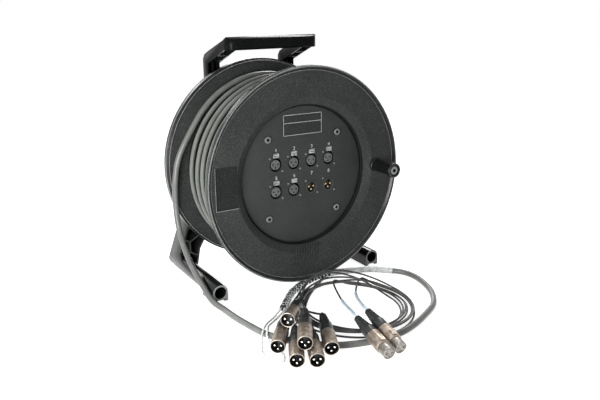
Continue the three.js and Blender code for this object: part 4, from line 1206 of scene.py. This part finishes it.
def socketConnector(i, x, z, c):
    place = movedTo(x, 0, z)
    front = c["insertFront"]
    profile = [(0, front), (c["insert"], front), (c["insert"], c["floor"]), (0, c["floor"])]
    insert = meshObject(lathe(profile, 48, 0.5), f"SocketInsert{i + 1}")
    carve(insert, [merge(*[rodMesh(c["contact"], front - 1, front + 9, a, b) for a, b in contactPlaces])])
    insert.data.transform(place)
    dress(insert, greyNylon, "drum")
    ring = lathe([(c["rim"] + 0.3, c["bodyFront"]), (c["body"], c["bodyFront"]), (c["body"], c["bodyBack"]),
                  (0, c["bodyBack"]), (0, c["floor"]), (c["rim"] + 0.3, c["floor"])], 48, 0.2)
    block = prism(rectangle(-c["housingHalf"], c["housingHalf"], c["housingLow"], c["housingHigh"]),
                  c["bodyFront"] + 0.1, c["bodyBack"], 0.5)
    shell = meshObject(ring, f"SocketShell{i + 1}")
    housing = meshObject(block, f"SocketHousing{i + 1}")
    slot = rectangle(-panel["slotHalf"], panel["slotHalf"], panel["slotLow"], panel["slotHigh"])
    carve(housing, [prism(slot, c["bodyFront"] - 1, 24.5)])
    for piece in (shell, housing):
        piece.data.transform(place)
        dress(piece, blackNylon, "drum")
    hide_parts(f"panel_socket_{i + 1}")
    w, low, high = c["latchHalf"], c["latchLow"], c["latchHigh"]
    middle = (low + high) / 2
    body = prism(rectangle(-w, w, low, high), c["latchFront"] + 1.1, c["latchBack"], 1.2)
    lumps = [prism(rectangle(-w + 0.4, w - 0.4, middle + 0.3, high - 0.3), c["latchFront"],
                   c["latchBack"] - 1, 0.9),
             prism(rectangle(-w + 1.2, w - 1.2, low + 0.4, middle - 0.5), c["latchFront"] + 0.5,
                   c["latchBack"] - 1, 0.9)]
    tab = meshObject(merge(body, *lumps), f"SocketLatch{i + 1}")
    edges = tab.modifiers.new("round", "BEVEL")
    edges.width = 0.5 * mm
    edges.segments = 2
    evaluated(tab)
    tab.data.transform(place)
    dress(tab, castZinc, f"panel_latch_{i + 1}", [f"socket_latch_{i + 1}"])


def pinConnector(i, x, z, c):
    place = movedTo(x, 0, z)
    cup = meshObject(lathe([(0, c["cupFloor"]), (c["cup"], c["cupFloor"]), (c["cup"], c["cupFront"]),
                            (c["rim"], c["cupFront"]), (c["rim"], c["bodyFront"]),
                            (c["body"], c["bodyFront"]), (c["body"], c["bodyBack"]), (0, c["bodyBack"])], 48, 0.35),
                     f"PinShell{i + 1}", place)
    dress(cup, darkNylon, "drum", [f"panel_pins_{i + 1}"])
    floor = meshObject(lathe([(0, c["cupFloor"] - 6), (c["cup"] - 0.1, c["cupFloor"] - 6),
                              (c["cup"] - 0.1, c["cupFloor"] - 0.1), (0, c["cupFloor"] - 0.1)], 40, 0.1),
                       f"PinFloor{i + 1}", place)
    dress(floor, blackNylon, "drum")
    pins = merge(*[rodMesh(1.2, 15.5, c["cupFloor"] - 5, -a, b) for a, b in contactPlaces])
    piece = meshObject(pins, f"PanelPins{i + 1}", place)
    dress(piece, goldPins, "drum")


def smallScrews(i, x, z):
    for k, (a, b) in enumerate([(-9.7, 9.9), (10.0, -9.5)]):
        profile = [(0, 13.5), (1.2, 13.5), (1.6, 14.25), (0, 14.25)]
        head = meshObject(lathe(profile, 24, 0.25), f"SmallScrew{i + 1}{'ab'[k]}")
        carve(head, [prism(rectangle(-0.9, 0.9, -0.25, 0.25), 13, 13.9)])
        head.data.transform(movedTo(x + a, 0, z + b))
        dress(head, zincSteel, "drum")


for i, (x, z) in enumerate(places):
    if i < 6:
        socketConnector(i, x, z, connector)
    else:
        pinConnector(i, x, z, connector)
    smallScrews(i, x, z)

whiteInk, _, inkShader = newMaterial("screen ink white", Roughness=0.6)
inkShader.inputs["Base Color"].default_value = linear("#c9cccb")


def number(text, x, z, p):
    curve = bpy.data.curves.new(f"Number{text}", "FONT")
    curve.body = text
    curve.size = p["numberHeight"] * 1.35 * mm
    curve.align_x = "CENTER"
    curve.extrude = 0.02 * mm
    words = bpy.data.objects.new(f"Number{text}", curve)
    bpy.context.scene.collection.objects.link(words)
    words.rotation_euler = (math.radians(90), 0, 0)
    words.location = onAxle(x, p["front"] - 0.05, z)
    bpy.context.view_layer.update()
    graph = bpy.context.evaluated_depsgraph_get()
    mesh = bpy.data.meshes.new_from_object(words.evaluated_get(graph))
    mesh.transform(words.matrix_world)
    bpy.data.objects.remove(words)
    piece = bpy.data.objects.new(f"Number{text}", mesh)
    bpy.context.scene.collection.objects.link(piece)
    dress(piece, whiteInk, "drum")


for i, (x, z) in enumerate(places):
    number(str(i + 1), x + 0.3, z + panel["numberRise"] - 1.4, panel)

labelPlate = {
    "corners": (-31.6, 31.7, 58.0, 88.0),
    "line": 0.55,
    "front": 14.0,
    "inkFront": 13.94,
    "back": 14.28,
    "division": 0.6,    # this share of the height lies below the line across it
}


def bareLabel(q):
    # a printed plate with a border and one line across, left blank
    x0, x1, z0, z1 = q["corners"]
    w = q["line"]
    plate = prism(rectangle(x0, x1, z0, z1), q["front"], q["back"], 0.8)
    middle = z1 - (z1 - z0) * (1 - q["division"])
    bars = [rectangle(x0 + w, x1 - w, z1 - 2 * w, z1 - w), rectangle(x0 + w, x1 - w, z0 + w, z0 + 2 * w),
            rectangle(x0 + w, x0 + 2 * w, z0 + w, z1 - w), rectangle(x1 - 2 * w, x1 - w, z0 + w, z1 - w),
            rectangle(x0 + w, x1 - w, middle - w / 2, middle + w / 2)]
    parts = [(plate, labelFoil)] + [(prism(bar, q["inkFront"], q["front"] + 0.05), whiteInk) for bar in bars]
    piece = assembled("LabelPlate", parts, movedTo())
    return dress(piece, None, "drum")


bareLabel(labelPlate)
print("panel made")


# Knob, frame, handle, feet and small hardware

knob = {"x": 117.0, "z": 3.0}
knobProfile = [(4.3, -0.3), (10, -0.3), (10, -3.5), (9, -4.5), (9, -37), (10.8, -41), (10.8, -46), (10, -47),
               (7.8, -47), (7.8, -42.5), (4.3, -42.5)]
knobPiece = meshObject(lathe(knobProfile, 72, 0.7, closed=True), "CrankKnob",
                       movedTo(knob["x"], 0, knob["z"]))
dress(knobPiece, blackNylon, "knob", ["crank_knob"])
boltProfile = [(0, -46.0), (6, -46.0), (6, -42.8), (4, -42.8), (4, 14.1), (0, 14.1)]
bolt = meshObject(lathe(boltProfile, 40, 0.5), "KnobBolt")
carve(bolt, [prism(circlePoints(3.0, 6), -47, -43.4)])
shadedDrive(bolt, 3.1, -46).data.transform(movedTo(knob["x"], 0, knob["z"]))
dress(bolt, None, nodes["knob_bolt"]["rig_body"], ["knob_bolt"])

for node, material, width in (("back_frame", frameAbs, 0.7), ("carry_handle", glossAbs, 1.6)):
    dress(softened(node, width), material, "stand", [node])


def footTube(node):
    # a black tube whose front face is drawn pale grey: painted reflection
    piece = softened(node, 0.5)
    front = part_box(node)[0].y / mm
    # painted reflection on the front face
    finishFaces(piece, (footAbs, paintedHighlightAbs),
                lambda x, y, z, normal: y < front + 0.7 and normal.y < -0.5)
    return dress(piece, None, "stand", [node])


for side in ("left", "right"):
    footTube(f"{side}_foot")

plain = {
    "axle": nickelSteel, "axle_washer": nickelSteel, "axle_nut": nickelSteel, "front_bush": bushPom,
    "rear_bush": bushPom, "knob_nut": nickelSteel, "plug_latch_7": champagneZinc,
    "plug_latch_8": champagneZinc,
}
for node, material in plain.items():
    nodes[node].data.materials.clear()
    nodes[node].data.materials.append(material)
print("stand made")


# Floor, light and background

def seenDirectly(tree):
    # 1 for what the camera, a mirror or a clear tube looks at
    ray = addNode(tree, "LightPath")
    first = addNode(tree, "Math", {"operation": "MAXIMUM"},
                    links={0: ray.outputs["Is Camera Ray"], 1: ray.outputs["Is Glossy Ray"]})
    return addNode(tree, "Math", {"operation": "MAXIMUM"},
                   links={0: first.outputs[0], 1: ray.outputs["Is Transmission Ray"]}).outputs[0]


def stageFloor():
    bm = bmesh.new()
    bmesh.ops.create_grid(bm, x_segments=8, y_segments=8, size=4)
    floor = meshObject(bm, "Floor")
    # paper, seamless white: pure white where it is lit, a soft grey in the object's shadow
    material, tree, shader = newMaterial("paper seamless white", Roughness=0.9)
    shader.inputs["Base Color"].default_value = linear("#f4f4f4")
    share = addNode(tree, "Math", {"operation": "MULTIPLY"}, {1: 0.86}, {0: seenDirectly(tree)})
    glow = addNode(tree, "Emission", values={"Color": (1, 1, 1, 1)}, links={"Strength": share.outputs[0]})
    both = addNode(tree, "AddShader", links={0: shader.outputs[0], 1: glow.outputs[0]})
    tree.links.new(both.outputs[0], tree.nodes["Material Output"].inputs["Surface"])
    floor.data.materials.append(material)


def studioWorld():
    world = bpy.data.worlds.new("studio")
    bpy.context.scene.world = world
    world.use_nodes = True
    tree = world.node_tree
    back = tree.nodes["Background"]
    back.inputs["Color"].default_value = (0.8, 0.8, 0.8, 1)
    back.inputs["Strength"].default_value = 0.12
    white = addNode(tree, "Background", values={"Color": (1, 1, 1, 1), "Strength": 1.0})
    blend = addNode(tree, "MixShader",
                    links={0: seenDirectly(tree), 1: back.outputs[0], 2: white.outputs[0]})
    tree.links.new(blend.outputs[0], tree.nodes["World Output"].inputs["Surface"])


def softLight(name, place, size, watts):
    data = bpy.data.lights.new(name, "AREA")
    data.shape = "RECTANGLE"
    data.size, data.size_y = size
    data.energy = watts
    lamp = bpy.data.objects.new(name, data)
    bpy.context.scene.collection.objects.link(lamp)
    lamp.location = place
    aim = onAxle(0, 60, -20) - Vector(place)
    lamp.rotation_euler = aim.to_track_quat("-Z", "Y").to_euler()


stageFloor()
studioWorld()
lamps = {
    "key": ((-0.52, -0.4, 0.2), (0.3, 0.3), 4.6),
    "top": ((-0.1, 0.1, 1.7), (1.2, 1.2), 5),
    "fill": ((1.4, -1.0, 0.9), (0.8, 1.2), 0.7),
    "back": ((0.75, 0.83, 1.38), (0.5, 0.36), 14),
    "strip": ((0.95, 1.6, 0.74), (0.9, 0.26), 6),
    "edge": ((-0.45, 1.45, 1.0), (0.8, 0.26), 6),
}
for name, (place, size, watts) in lamps.items():
    softLight(name, place, size, watts)
bpy.context.scene.view_settings.view_transform = "Standard"


print("done")
